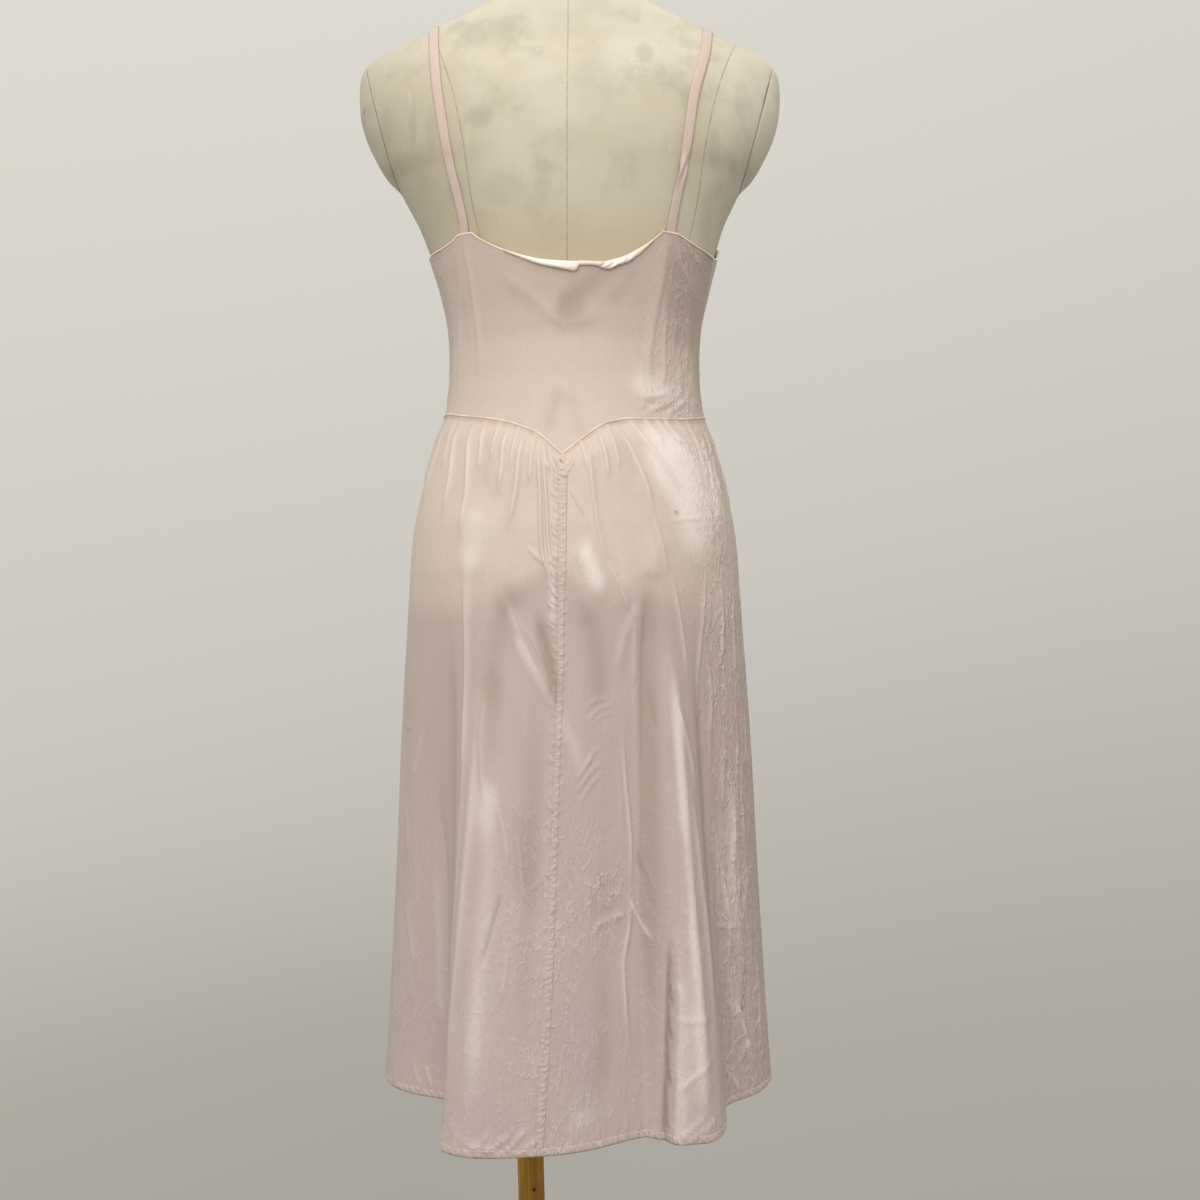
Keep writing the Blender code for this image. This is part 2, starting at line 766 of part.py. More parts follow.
def level_ends(lines):
    """Both corners of a strap's end at one height, so that it meets a level peak."""
    for number in (0, -1):
        left, right = lines[number]
        level = (left.z + right.z) / 2
        left.z = level
        right.z = level


def make_stand(collection, material):
    pole_foot = BOSS_HEIGHT * MM + SEAM_GAP
    pole_top = FORM_SECTIONS[0].height * MM - SEAM_GAP
    bpy.ops.mesh.primitive_cylinder_add(vertices=32, radius=POLE_RADIUS, depth=pole_top - pole_foot)
    pole = bpy.context.object
    for owner in list(pole.users_collection):
        owner.objects.unlink(pole)
    collection.objects.link(pole)
    pole.name = "pole"
    pole.data.name = "pole"
    pole.data.materials.append(material)
    middle = (pole_foot + pole_top) / 2
    for vertex in pole.data.vertices:
        vertex.co.x += vertex.co.z * POLE_LEAN
    pole.location = ((POLE_AT_HEM[0] - POLE_AT_HEM[1] * POLE_LEAN) * MM + middle * POLE_LEAN, 0, middle)

    mesh = bpy.data.meshes.new("base")
    points = [(point.radius * MM, 0, point.height * MM) for point in FOOT_PROFILE]
    mesh.from_pydata(points, [(k, k + 1) for k in range(len(points) - 1)], [])
    base = new_object("base", mesh, collection, material)
    base.location = ((POLE_AT_HEM[0] + (BOSS_HEIGHT - POLE_AT_HEM[1]) * POLE_LEAN) * MM, 0, 0)
    screw = base.modifiers.new("turned", "SCREW")
    screw.angle = 2 * math.pi
    screw.steps = 36
    screw.render_steps = 36
    screw.use_merge_vertices = True
    screw.merge_threshold = 0.0001
    screw.use_smooth_shade = True


def main():
    for old in list(bpy.data.objects):
        bpy.data.objects.remove(old, do_unlink=True)
    parts = bpy.data.collections.new("slip dress on dress form")
    cutters = bpy.data.collections.new("cutters")
    for collection in (parts, cutters):
        bpy.context.scene.collection.children.link(collection)

    silk = principled("blush silk", (0.78, 0.63, 0.56), 0.42)
    satin = principled("satin facing", (0.86, 0.74, 0.68), 0.30)
    canvas = principled("form canvas", (0.56, 0.52, 0.42), 0.85)
    wood = principled("ochre wood", (0.24, 0.12, 0.03), 0.55)

    make_form(parts, cutters, canvas)
    make_bodice(parts, silk, satin)
    make_skirt(parts, silk)
    tree = form_surface()
    make_strap("strap_left", STRAP_LEFT, 1, tree, parts, silk)
    make_strap("strap_right", STRAP_RIGHT, -1, tree, parts, silk)
    make_stand(parts, wood)


main()
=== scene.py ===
# %% [markdown]
# A slip dress of thin silk satin rests on a limbless canvas form with a pole and a round foot.
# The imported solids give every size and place. This lesson dresses them: it makes finer cloth
# with its creases, seams, stitches and satin edges, and a worn form and stand to carry it.

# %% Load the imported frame
import math
from collections import namedtuple

import bmesh
import bpy
import numpy as np
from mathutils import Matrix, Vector
from mathutils.bvhtree import BVHTree


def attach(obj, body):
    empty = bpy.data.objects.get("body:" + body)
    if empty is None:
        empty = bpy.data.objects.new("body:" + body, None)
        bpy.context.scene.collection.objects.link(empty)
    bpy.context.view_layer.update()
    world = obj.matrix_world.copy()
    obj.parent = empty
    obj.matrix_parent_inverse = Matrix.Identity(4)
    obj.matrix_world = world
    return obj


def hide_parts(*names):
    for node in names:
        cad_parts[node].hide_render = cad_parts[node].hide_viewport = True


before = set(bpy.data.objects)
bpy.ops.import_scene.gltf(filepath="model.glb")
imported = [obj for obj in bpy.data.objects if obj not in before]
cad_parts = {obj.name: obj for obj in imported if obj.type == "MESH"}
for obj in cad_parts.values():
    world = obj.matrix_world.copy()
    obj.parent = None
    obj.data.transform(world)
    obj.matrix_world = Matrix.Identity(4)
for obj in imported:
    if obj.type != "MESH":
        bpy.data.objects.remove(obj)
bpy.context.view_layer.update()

# %% [markdown]
# The camera comes first. It stands 1.2 m behind the form's axis at the height of the hips and
# looks straight ahead, as someone who shows the back of a garment would hold it. Its lens takes
# in 1.2 m at the axis, so one pixel of a render that is 1200 wide is one millimetre there.

# %% Camera
MM = 0.001
CAMERA_DISTANCE = 1.2
CAMERA_ACROSS = -25.5 * MM
CAMERA_HEIGHT = 813 * MM
FILM = 36.0
WIDTH_AT_AXIS = 1.2
camera_data = bpy.data.cameras.new("camera")
camera_data.sensor_width = FILM
camera_data.lens = FILM * CAMERA_DISTANCE / WIDTH_AT_AXIS
camera = bpy.data.objects.new("camera", camera_data)
camera.location = (CAMERA_ACROSS, CAMERA_DISTANCE, CAMERA_HEIGHT)
camera.rotation_euler = (math.pi / 2, 0, math.pi)
bpy.context.scene.collection.objects.link(camera)
bpy.context.scene.camera = camera
print("camera at", tuple(round(v, 3) for v in camera.location))

# %% [markdown]
# Shader maths is easiest to read as plain expressions. A small class wraps an output socket, and
# its operators add the Math nodes, so 1 - mask * 0.5 works as it stands. Colours and vectors go
# through Mix and Vector Math, because a Math node would turn a colour grey. Every other node
# comes from one method that sets the node's own settings first and its sockets after.

# %% A class that wraps sockets
class Value:
    """A number, colour or vector on its way through a node tree."""

    def __init__(self, recipe, socket):
        self.recipe = recipe
        self.socket = socket

    def combine(self, operation, first, second):
        return self.recipe.add("ShaderNodeMath", {"operation": operation}, {0: first, 1: second})

    def __add__(self, other):
        return self.combine("ADD", self, other)

    def __radd__(self, other):
        return self.combine("ADD", other, self)

    def __sub__(self, other):
        return self.combine("SUBTRACT", self, other)

    def __rsub__(self, other):
        return self.combine("SUBTRACT", other, self)

    def __mul__(self, other):
        return self.combine("MULTIPLY", self, other)

    def __rmul__(self, other):
        return self.combine("MULTIPLY", other, self)

    def __truediv__(self, other):
        return self.combine("DIVIDE", self, other)

    def __neg__(self):
        return self.combine("MULTIPLY", self, -1.0)

    def __abs__(self):
        return self.combine("ABSOLUTE", self, 0.0)

    def smallest(self, other):
        return self.combine("MINIMUM", self, other)

    def between(self, low, high):
        """0 below low, 1 above high, and a smooth way from one to the other."""
        settings = {"interpolation_type": "SMOOTHSTEP"}
        sockets = {"Value": self, "From Min": low, "From Max": high}
        return self.recipe.add("ShaderNodeMapRange", settings, sockets)


# %% A class that builds node trees
class Recipe:
    """Adds nodes to one tree and links them."""

    def __init__(self, tree):
        self.tree = tree

    def add(self, kind, settings=None, sockets=None, output=0):
        node = self.tree.nodes.new(kind)
        for name, value in (settings or {}).items():
            if name == "stops":
                self.set_stops(node.color_ramp, value)
            elif name == "curve":
                self.set_curve(node.mapping, value)
            else:
                setattr(node, name, value)
        for name, value in (sockets or {}).items():
            if isinstance(value, Value):
                self.tree.links.new(value.socket, node.inputs[name])
            else:
                node.inputs[name].default_value = value
        return Value(self, node.outputs[output])

    def set_stops(self, ramp, stops):
        while len(ramp.elements) < len(stops):
            ramp.elements.new(0.5)
        for element, (position, colour) in zip(ramp.elements, stops):
            element.position = position
            element.color = colour

    def set_curve(self, mapping, points):
        curve = mapping.curves[0]
        while len(curve.points) < len(points):
            curve.points.new(0.5, 0.5)
        for point, place in zip(curve.points, points):
            point.location = place
        mapping.update()

    def blend(self, share, first, second):
        settings = {"data_type": "RGBA", "clamp_factor": True}
        return self.add("ShaderNodeMix", settings, {0: share, 6: first, 7: second}, output=2)

    def place(self):
        return self.add("ShaderNodeTexCoord", {}, {}, output="Object")

    def noise(self, place, scale, detail=2.0, roughness=0.5):
        sockets = {"Vector": place, "Scale": scale, "Detail": detail, "Roughness": roughness}
        return self.add("ShaderNodeTexNoise", {}, sockets)

    def stretched(self, place, scale):
        return self.add("ShaderNodeMapping", {}, {"Vector": place, "Scale": scale})

    def attribute(self, name):
        return self.add("ShaderNodeAttribute", {"attribute_name": name}, {}, output=2)

    def parts(self, place):
        node = self.add("ShaderNodeSeparateXYZ", {}, {"Vector": place}).socket.node
        return [Value(self, socket) for socket in node.outputs]


# %% [markdown]
# The room is a plain pale one, brighter above than below. A world that follows the direction up
# and down gives that soft light from all round and the plain background as well. It is a little
# brighter towards the window side, and one low corner of it is darker: a painted shadow of the
# garment on the wall behind.
# A large soft lamp behind the camera lights the back as a window would, one overhead shapes the
# folds, and a weak one in front keeps the garment's other side readable.

# %% World and lamps
SKY = (
    (0.0, (0.30, 0.283, 0.25, 1)),
    (0.31, (0.43, 0.408, 0.362, 1)),
    (0.5, (0.60, 0.575, 0.522, 1)),
    (0.7, (0.705, 0.677, 0.615, 1)),
    (1.0, (0.86, 0.83, 0.765, 1)),
)
WINDOW_SIDE = 0.12
PAINTED_WALL_SHADOW = 0.07
GARMENT_MIDDLE = Vector((0, 0, 0.9))
world = bpy.data.worlds.new("pale room")
world.use_nodes = True
room = Recipe(world.node_tree)
way = room.add("ShaderNodeTexCoord", {}, {}, output="Generated")
side, _, up = room.parts(way)
# One low corner of the world is darker: a painted shadow of the garment on the wall behind it.
painted_wall_shadow = side.between(-0.05, 0.15) * (-up).between(0.15, 0.4) * PAINTED_WALL_SHADOW
brightness = up * 0.5 + side * WINDOW_SIDE + 0.5 - painted_wall_shadow
sky = room.add("ShaderNodeValToRGB", {"stops": SKY}, {"Fac": brightness})
world.node_tree.links.new(sky.socket, world.node_tree.nodes["Background"].inputs["Color"])
bpy.context.scene.world = world
bpy.context.scene.view_settings.view_transform = "Standard"


def soft_lamp(name, place, size, power, colour):
    """A square lamp that faces the middle of the garment."""
    data = bpy.data.lights.new(name, "AREA")
    data.size = size
    data.energy = power
    data.color = colour
    lamp = bpy.data.objects.new(name, data)
    lamp.location = place
    lamp.rotation_euler = (GARMENT_MIDDLE - Vector(place)).to_track_quat("-Z", "Y").to_euler()
    bpy.context.scene.collection.objects.link(lamp)


soft_lamp("window", (0.35, 3.2, 2.1), 2.4, 42, (1, 0.985, 0.96))
soft_lamp("ceiling light", (0.1, 1.0, 3.0), 1.2, 13, (1, 0.98, 0.94))
soft_lamp("front fill", (0.0, -2.6, 1.9), 1.8, 12, (1, 0.98, 0.95))
print("world and three lamps made")

# %% [markdown]
# A small pale disc catches the stand's shadow.

# %% Floor
FLOOR_RADIUS = 0.42
FLOOR_DARK = (0.6, 0.58, 0.54, 1)
FLOOR_PALE = (0.66, 0.64, 0.6, 1)
floor_mesh = bpy.data.meshes.new("floor")
floor_shape = bmesh.new()
bmesh.ops.create_circle(floor_shape, cap_ends=True, segments=96, radius=FLOOR_RADIUS)
floor_shape.to_mesh(floor_mesh)
floor_shape.free()
floor = bpy.data.objects.new("floor", floor_mesh)
bpy.context.scene.collection.objects.link(floor)
floor_material = bpy.data.materials.new("pale floor")
floor_material.use_nodes = True
floor_recipe = Recipe(floor_material.node_tree)
floor_shader = floor_material.node_tree.nodes["Principled BSDF"]
floor_place = floor_recipe.place()
floor_cloudy = floor_recipe.noise(floor_place, 14.0)
floor_tone = floor_recipe.blend(floor_cloudy, FLOOR_DARK, FLOOR_PALE)
floor_material.node_tree.links.new(floor_tone.socket, floor_shader.inputs["Base Color"])
floor_shader.inputs["Roughness"].default_value = 0.8
floor_mesh.materials.append(floor_material)
print("floor:", FLOOR_RADIUS, "m in radius")

# %% [markdown]
# Cloth on a form is easiest to place by a turn round the axis and a height. The tables below
# repeat the solids' own sizes: degrees from +X, so that 90 is the centre back and 270 the
# centre front, and millimetres. A smooth reader turns a short table into a curve that never
# overshoots its rows, so a few rows are enough for a whole body.

# %% Reading a table smoothly
def column(rows, name):
    """One named column of a table as an array."""
    return np.array([getattr(row, name) for row in rows], dtype=float)


def smooth_through(stations, values, at):
    """A smooth curve through the stations that never overshoots them."""
    steps = np.diff(stations)
    slopes = np.diff(values) / steps
    tangents = np.empty_like(values)
    tangents[0] = slopes[0]
    tangents[-1] = slopes[-1]
    same_way = slopes[:-1] * slopes[1:] > 0
    harmonic = 2 * slopes[:-1] * slopes[1:] / np.where(same_way, slopes[:-1] + slopes[1:], 1)
    tangents[1:-1] = np.where(same_way, harmonic, 0)
    at = np.clip(at, stations[0], stations[-1])
    place = np.clip(np.searchsorted(stations, at, side="right") - 1, 0, len(steps) - 1)
    share = (at - stations[place]) / steps[place]
    rise = values[place + 1] - values[place]
    start = tangents[place] * steps[place]
    finish = tangents[place + 1] * steps[place]
    bend = 3 * rise - 2 * start - finish
    curl = start + finish - 2 * rise
    return values[place] + share * (start + share * (bend + share * curl))


def read(rows, key, value, at):
    """The value column of a table at places along its key column."""
    return smooth_through(column(rows, key), column(rows, value), np.asarray(at, dtype=float))


def rows_of(kind, *rows):
    """A table whose rows have the named columns of `kind`."""
    return tuple(kind(*row) for row in rows)


def ease_in(share):
    share = np.clip(share, 0, 1)
    return share * share * (3 - 2 * share)


def wave(angle, centre, before, after):
    """A soft crest round `centre`, with its own width on each side."""
    away = (angle - centre + 180) % 360 - 180
    return np.exp(-((away / np.where(away < 0, before, after)) ** 2))


# %% [markdown]
# The form is a torso without a head or limbs. Its sections are soft ovals with a depth of their
# own at the back and at the front, and two rises make the bust. One formula gives its surface at
# any turn and height, which a modelled mesh couldn't, so the cloth can be laid on it exactly.

# %% The dress form's sizes
FORM_ROUNDNESS = 2.2
SWAY = 4.5
SWAY_FROM = 1105.0
SWAY_TO = 1230.0
BUST_HEIGHT = 1135.0
BUST_RISE = 30.0
BUST_ANGLES = (236.0, 304.0)
BUST_SPREAD = 21.0
BUST_ABOVE = 62.0
BUST_BELOW = 40.0
FormSection = namedtuple("FormSection", "height half_width back front")
FORM_SECTIONS = rows_of(
    FormSection, (792, 138, 92, 88), (800, 149, 104, 100), (820, 156, 114, 107),
    (850, 157.5, 120, 109), (880, 155, 121, 109), (910, 149, 116, 107), (940, 141, 107, 103),
    (970, 132, 96, 98), (1000, 125, 87, 94), (1030, 122, 82, 92), (1055, 121.5, 81, 92),
    (1080, 123, 84, 95), (1110, 129, 91, 100), (1140, 137, 98, 105), (1160, 143, 102, 108),
    (1185, 152, 105, 108), (1209, 164, 106, 105), (1222, 171, 106, 103), (1235, 184, 105.5, 101),
    (1252, 194, 104, 98), (1272, 203, 101, 92), (1293, 208, 97, 84), (1313, 209, 90, 74),
    (1328, 208, 83, 66), (1340, 201, 77, 60), (1350, 182, 74, 57), (1361, 159, 71, 55),
    (1375, 128, 69, 54), (1390, 95, 67, 55), (1404, 72, 65, 56), (1421, 62, 62, 56),
    (1446, 57, 59, 56), (1490, 56, 58, 57), (1499, 52, 54, 53),
)


# %% The form's surface
def oval_radius(rows, angle, height, roundness):
    """Distance from the axis to an oval section, in millimetres."""
    turn = np.radians(angle)
    back = read(rows, "height", "back", height)
    front = read(rows, "height", "front", height)
    depth = np.where(np.sin(turn) >= 0, back, front)
    across = np.abs(np.cos(turn)) / read(rows, "height", "half_width", height)
    along = np.abs(np.sin(turn)) / depth
    return (across ** roundness + along ** roundness) ** (-1 / roundness)


def form_radius(angle, height):
    """Surface of the dress form, in millimetres from the axis."""
    radius = oval_radius(FORM_SECTIONS, angle, height, FORM_ROUNDNESS)
    away = height - BUST_HEIGHT
    bust = np.exp(-((away / np.where(away > 0, BUST_ABOVE, BUST_BELOW)) ** 2))
    for centre in BUST_ANGLES:
        radius = radius + BUST_RISE * bust * wave(angle, centre, BUST_SPREAD, BUST_SPREAD)
    return radius


def on_ring(angle, height, radius):
    """World points from degrees round the axis and millimetres."""
    turn = np.radians(angle)
    sway = SWAY * ease_in((height - SWAY_FROM) / (SWAY_TO - SWAY_FROM))
    return np.stack([radius * np.cos(turn) + sway, radius * np.sin(turn), height], axis=-1) * MM


waist_sizes = form_radius(np.array([0.0, 90.0]), np.array([1055.0, 1055.0]))
print("form at the waist:", waist_sizes.round(1), "mm")

# %% [markdown]
# The slip's cutting lines are the waist seam, which dips to a point at the centre back, and the
# upper edges of the bodice, which rise to a strap on each side. Each is a few smooth stretches
# that meet at a corner, because a seam turns sharply only where two of them meet.

# %% Edges of the bodice and the waist seam
EdgePoint = namedtuple("EdgePoint", "angle height")
WAIST_LEFT = rows_of(
    EdgePoint, (-4, 994), (15, 993), (31, 987.5), (52, 980), (67, 971), (75, 963), (85.2, 946.5),
)
WAIST_RIGHT = rows_of(
    EdgePoint, (85.2, 946.5), (92, 956.5), (98, 965), (103.5, 972), (108.4, 976.3), (120.6, 981),
    (133, 982), (147, 984), (160, 988), (176, 994),
)
WAIST_FRONT = rows_of(
    EdgePoint, (176, 994), (225, 1003), (270, 1006), (315, 1003), (356, 994),
)

BACK_ARMHOLE_LEFT = rows_of(
    EdgePoint, (-4, 1152), (7, 1149), (22, 1148), (31, 1151), (35, 1155),
)
BACK_NECK = rows_of(
    EdgePoint, (42, 1155), (45, 1149), (53.5, 1138.5), (63, 1131), (76, 1125.5), (91, 1124),
    (105, 1124), (115, 1128), (124, 1137), (130, 1146), (134.5, 1155),
)
BACK_ARMHOLE_RIGHT = rows_of(
    EdgePoint, (141.5, 1155), (154, 1148), (167, 1146), (176, 1151),
)
FRONT_ARMHOLE_RIGHT = rows_of(
    EdgePoint, (176, 1151), (186, 1168), (205, 1182), (220, 1190), (232.5, 1200),
)
FRONT_NECK = rows_of(
    EdgePoint, (237.5, 1200), (252, 1172), (270, 1158), (288, 1172), (302.5, 1200),
)
FRONT_ARMHOLE_LEFT = rows_of(
    EdgePoint, (307.5, 1200), (320, 1190), (335, 1178), (348, 1163), (356, 1152),
)
BACK_PEAK_HEIGHT = 1155.0
FRONT_PEAK_HEIGHT = 1200.0
WAIST_EDGES = (WAIST_LEFT, WAIST_RIGHT, WAIST_FRONT)
BACK_EDGES = (BACK_ARMHOLE_LEFT, BACK_NECK, BACK_ARMHOLE_RIGHT)
FRONT_EDGES = (FRONT_ARMHOLE_RIGHT, FRONT_NECK, FRONT_ARMHOLE_LEFT)


def stretch(angle, pieces):
    """The height of an edge made of smooth stretches, flat across the gaps between them."""
    height = np.full(np.shape(angle), np.nan)
    for piece in pieces:
        inside = (angle >= piece[0].angle) & (angle <= piece[-1].angle)
        height = np.where(inside, read(piece, "angle", "height", angle), height)
    for left, right in zip(pieces, pieces[1:]):
        between = (angle > left[-1].angle) & (angle < right[0].angle)
        height = np.where(between, left[-1].height, height)
    return height


def waist_height(angle):
    return stretch((angle + 4) % 360 - 4, WAIST_EDGES)


def back_edge(angle):
    return stretch(angle, BACK_EDGES)


def front_edge(angle):
    return stretch(angle, FRONT_EDGES)


back_height = float(back_edge(90.0) - waist_height(90.0))
print("bodice at its centre back:", round(back_height, 1), "mm tall")

# %% [markdown]
# The skirt hangs from the waist seam in a few deep drapes, the same as the solid's. The sections
# give its girth, and each drape has its own width on both sides and grows on its way down.

# %% The skirt's girth and drapes
EASE = 2.8
FRONT_EASE = 1.6
SOFTEN = 2.0
SKIRT_ROUNDNESS = 2.1
HEM_HEIGHT = 341.0
HEM_TURNING = 7.0
GATHER_ZONE = 25.0
SkirtSection = namedtuple("SkirtSection", "height half_width back front")
SKIRT_SECTIONS = rows_of(
    SkirtSection, (341, 190, 181, 168), (440, 184, 169, 158), (556, 178, 153, 146),
    (671, 173, 141, 134), (770, 167, 132, 123), (853, 160.5, 126.5, 116), (920, 149.5, 121, 111.5),
    (965, 137.5, 108, 105), (1005, 128, 91, 98),
)

# Drapes of the skirt. `rise` is outward at the hem, `before` and `after` are the widths
# towards smaller and larger angles, and each drape grows from `start` down to the hem.
Drape = namedtuple("Drape", "start_angle hem_angle start rise before after")
DRAPES = (
    Drape(30, 32, 840, -55, 17, 15),        # deep tuck behind the left back roll
    Drape(54.5, 58, 860, 21, 5, 18),        # left back roll, with a steep inner edge
    Drape(112, 114, 830, -26, 20, 5),       # trough beside the right back roll
    Drape(121, 129, 940, 10, 5, 9),         # right back roll
    Drape(146, 151, 905, -26, 11, 12),      # trough behind it, at the side
    Drape(176, 178, 800, 5, 9, 10),
    Drape(205, 203, 860, -20, 11, 12),      # front drapes
    Drape(223, 222, 800, 8, 9, 9),
    Drape(246, 243, 820, -25, 13, 9),
    Drape(266, 264, 780, 7, 10, 12),
    Drape(288, 287, 840, -21, 9, 14),
    Drape(306, 308, 800, 9, 10, 8),
    Drape(324, 328, 850, -24, 9, 13),
)

# %% [markdown]
# A crease is a soft ridge or trough along a line on the cloth. Each one here is listed with the
# places it runs through, how far it stands out (or in, if negative), and how wide it is to the
# left and right of someone who walks along it. It fades towards both ends. The distance to the
# line is measured on the cloth laid flat, so a crease keeps its width wherever it runs.

# %% Creases
Crease = namedtuple("Crease", "path rise left right")
CREASE_STEPS = 10
CREASE_FADE = 0.3


def creases_of(*rows):
    """Creases from rows of a path in degrees and heights, a rise and one or two half widths."""
    return tuple(Crease(path, rise, widths[0], widths[-1]) for path, rise, *widths in rows)


def flat_place(angle, height):
    """Places on the cloth laid flat round the body, in millimetres."""
    girth = read(SKIRT_SECTIONS, "height", "half_width", height)
    return girth * np.radians(angle - 90), height + 0 * angle


def curved_path(path):
    """A smooth line through a crease's places, laid flat."""
    angles, heights = np.array(path, dtype=float).T
    across, up = flat_place(angles, heights)
    share = np.linspace(0, 1, len(path))
    finer = np.linspace(0, 1, max(2, (len(path) - 1) * CREASE_STEPS + 1))
    if len(path) < 3:
        return np.interp(finer, share, across), np.interp(finer, share, up)
    return smooth_through(share, across, finer), smooth_through(share, up, finer)


def crease_height(crease, across, up):
    """How far one crease moves each place of the cloth."""
    line_across, line_up = curved_path(crease.path)
    reach = 3 * max(crease.left, crease.right)
    moved = np.zeros_like(across)
    near = (across > line_across.min() - reach) & (across < line_across.max() + reach)
    near &= (up > line_up.min() - reach) & (up < line_up.max() + reach)
    if not near.any():
        return moved
    x = across[near]
    y = up[near]
    best = np.full(x.shape, np.inf)
    side = np.zeros_like(x)
    along = np.zeros_like(x)
    count = len(line_across) - 1
    for k in range(count):
        run = np.array([line_across[k + 1] - line_across[k], line_up[k + 1] - line_up[k]])
        length = max(float(np.hypot(*run)), 1e-6)
        offset_x = x - line_across[k]
        offset_y = y - line_up[k]
        share = np.clip((offset_x * run[0] + offset_y * run[1]) / length ** 2, 0, 1)
        away = np.hypot(offset_x - share * run[0], offset_y - share * run[1])
        closer = away < best
        best = np.where(closer, away, best)
        side = np.where(closer, run[0] * offset_y - run[1] * offset_x, side)
        along = np.where(closer, (k + share) / count, along)
    width = np.where(side > 0, crease.left, crease.right)
    fade = ease_in(along / CREASE_FADE) * ease_in((1 - along) / CREASE_FADE)
    moved[near] = crease.rise * fade * np.exp(-((best / width) ** 2))
    return moved


def creased(creases, angle, height, sharp=0.0):
    """All creases together. `sharp` above 0 weakens those that are wider than it."""
    across, up = flat_place(angle, height)
    total = np.zeros_like(across)
    for crease in creases:
        share = min(1, 2 * sharp / (crease.left + crease.right)) if sharp else 1
        total = total + share * crease_height(crease, across, up)
    return total


# %% [markdown]
# Small gathers fan out under the waist seam, where a wide edge was drawn up on a thread. The
# table holds those of the back, each where it falls, and some run far down over the hips.

# %% Gathers under the back waist seam
BACK_GATHERS = creases_of(
    (((10, 992), (9, 950), (9, 925)), 1.6, 3),
    (((18, 992), (18, 945), (17, 905)), 1.8, 3),
    (((25, 991), (27, 960), (28, 935)), 1.5, 2.5),
    (((29, 990), (35, 934), (35, 885)), 2.6, 2.4, 3.4),
    (((37, 988), (45, 923), (44.6, 862)), 2.8, 2.2, 3.2),
    (((43, 986), (48, 950), (49, 930)), 2.0, 2, 2.4),
    (((51, 984), (53, 958), (53, 942)), 1.5, 2),
    (((57, 981), (59.5, 940), (59, 905)), 2.4, 2.6, 3.4),
    (((62, 978), (63, 955), (63, 930)), 1.6, 2, 2.4),
    (((66, 975), (67, 921), (64, 872)), 2.6, 2.6, 3.6),
    (((71, 971), (72, 940), (72, 915)), 1.6, 2.2),
    (((73.2, 970), (77, 910), (78, 862), (82.5, 826)), 2.4, 1.5, 2.4),
    (((75.6, 968), (79.4, 906), (80.6, 866), (84, 822)), 2.2, 1.6),
    (((75.4, 960), (78.4, 941), (81, 926)), 1.8, 1.6),
    (((93.6, 963), (96, 945), (97, 925)), 1.6, 2),
    (((97.4, 970), (98.4, 921), (101.6, 868), (105, 845)), 1.6, 3, 1.6),
    (((104, 850), (107.6, 833), (111, 814), (113, 802)), 1.3, 2.0, 1.4),
    (((103, 975), (105, 945), (106, 920)), 1.6, 2.4),
    (((108, 979), (110, 950), (111, 930)), 1.4, 2.4),
    (((112.5, 981), (117.5, 945), (121, 918), (124, 885)), 2.2, 3.0, 2),
    (((123, 892), (126, 862), (128.4, 835)), 1.1, 2.6, 1.6),
    (((119.5, 986), (124, 960), (130, 938), (138, 906)), 2.4, 4.0, 2.6),
    (((127, 985), (131, 968), (133, 955)), 1.6, 2.4),
    (((133, 985), (138, 966), (143, 958)), 1.9, 2.2),
    (((138, 986), (141, 968), (147, 950)), 1.7, 2),
    (((144, 987), (148, 965), (150, 940)), 1.6, 2.2),
    (((151, 988), (152, 950), (153, 915)), 1.8, 2.2),
    (((158, 990), (155.5, 925), (154.5, 868)), 2.0, 2),
    (((165, 992), (161, 940), (160, 900)), 1.7, 2),
    (((172, 995), (170.5, 940), (170, 885)), 1.9, 2.2),
    (((89.3, 914), (92, 903), (96, 888)), 1.2, 1.6, 1.4),
    (((129, 884), (136, 887), (146, 890)), 0.9, 1.2),
    (((72, 860), (77.7, 850)), 1.0, 1.4),
    (((73, 854), (80, 846)), 0.9, 1.4),
)

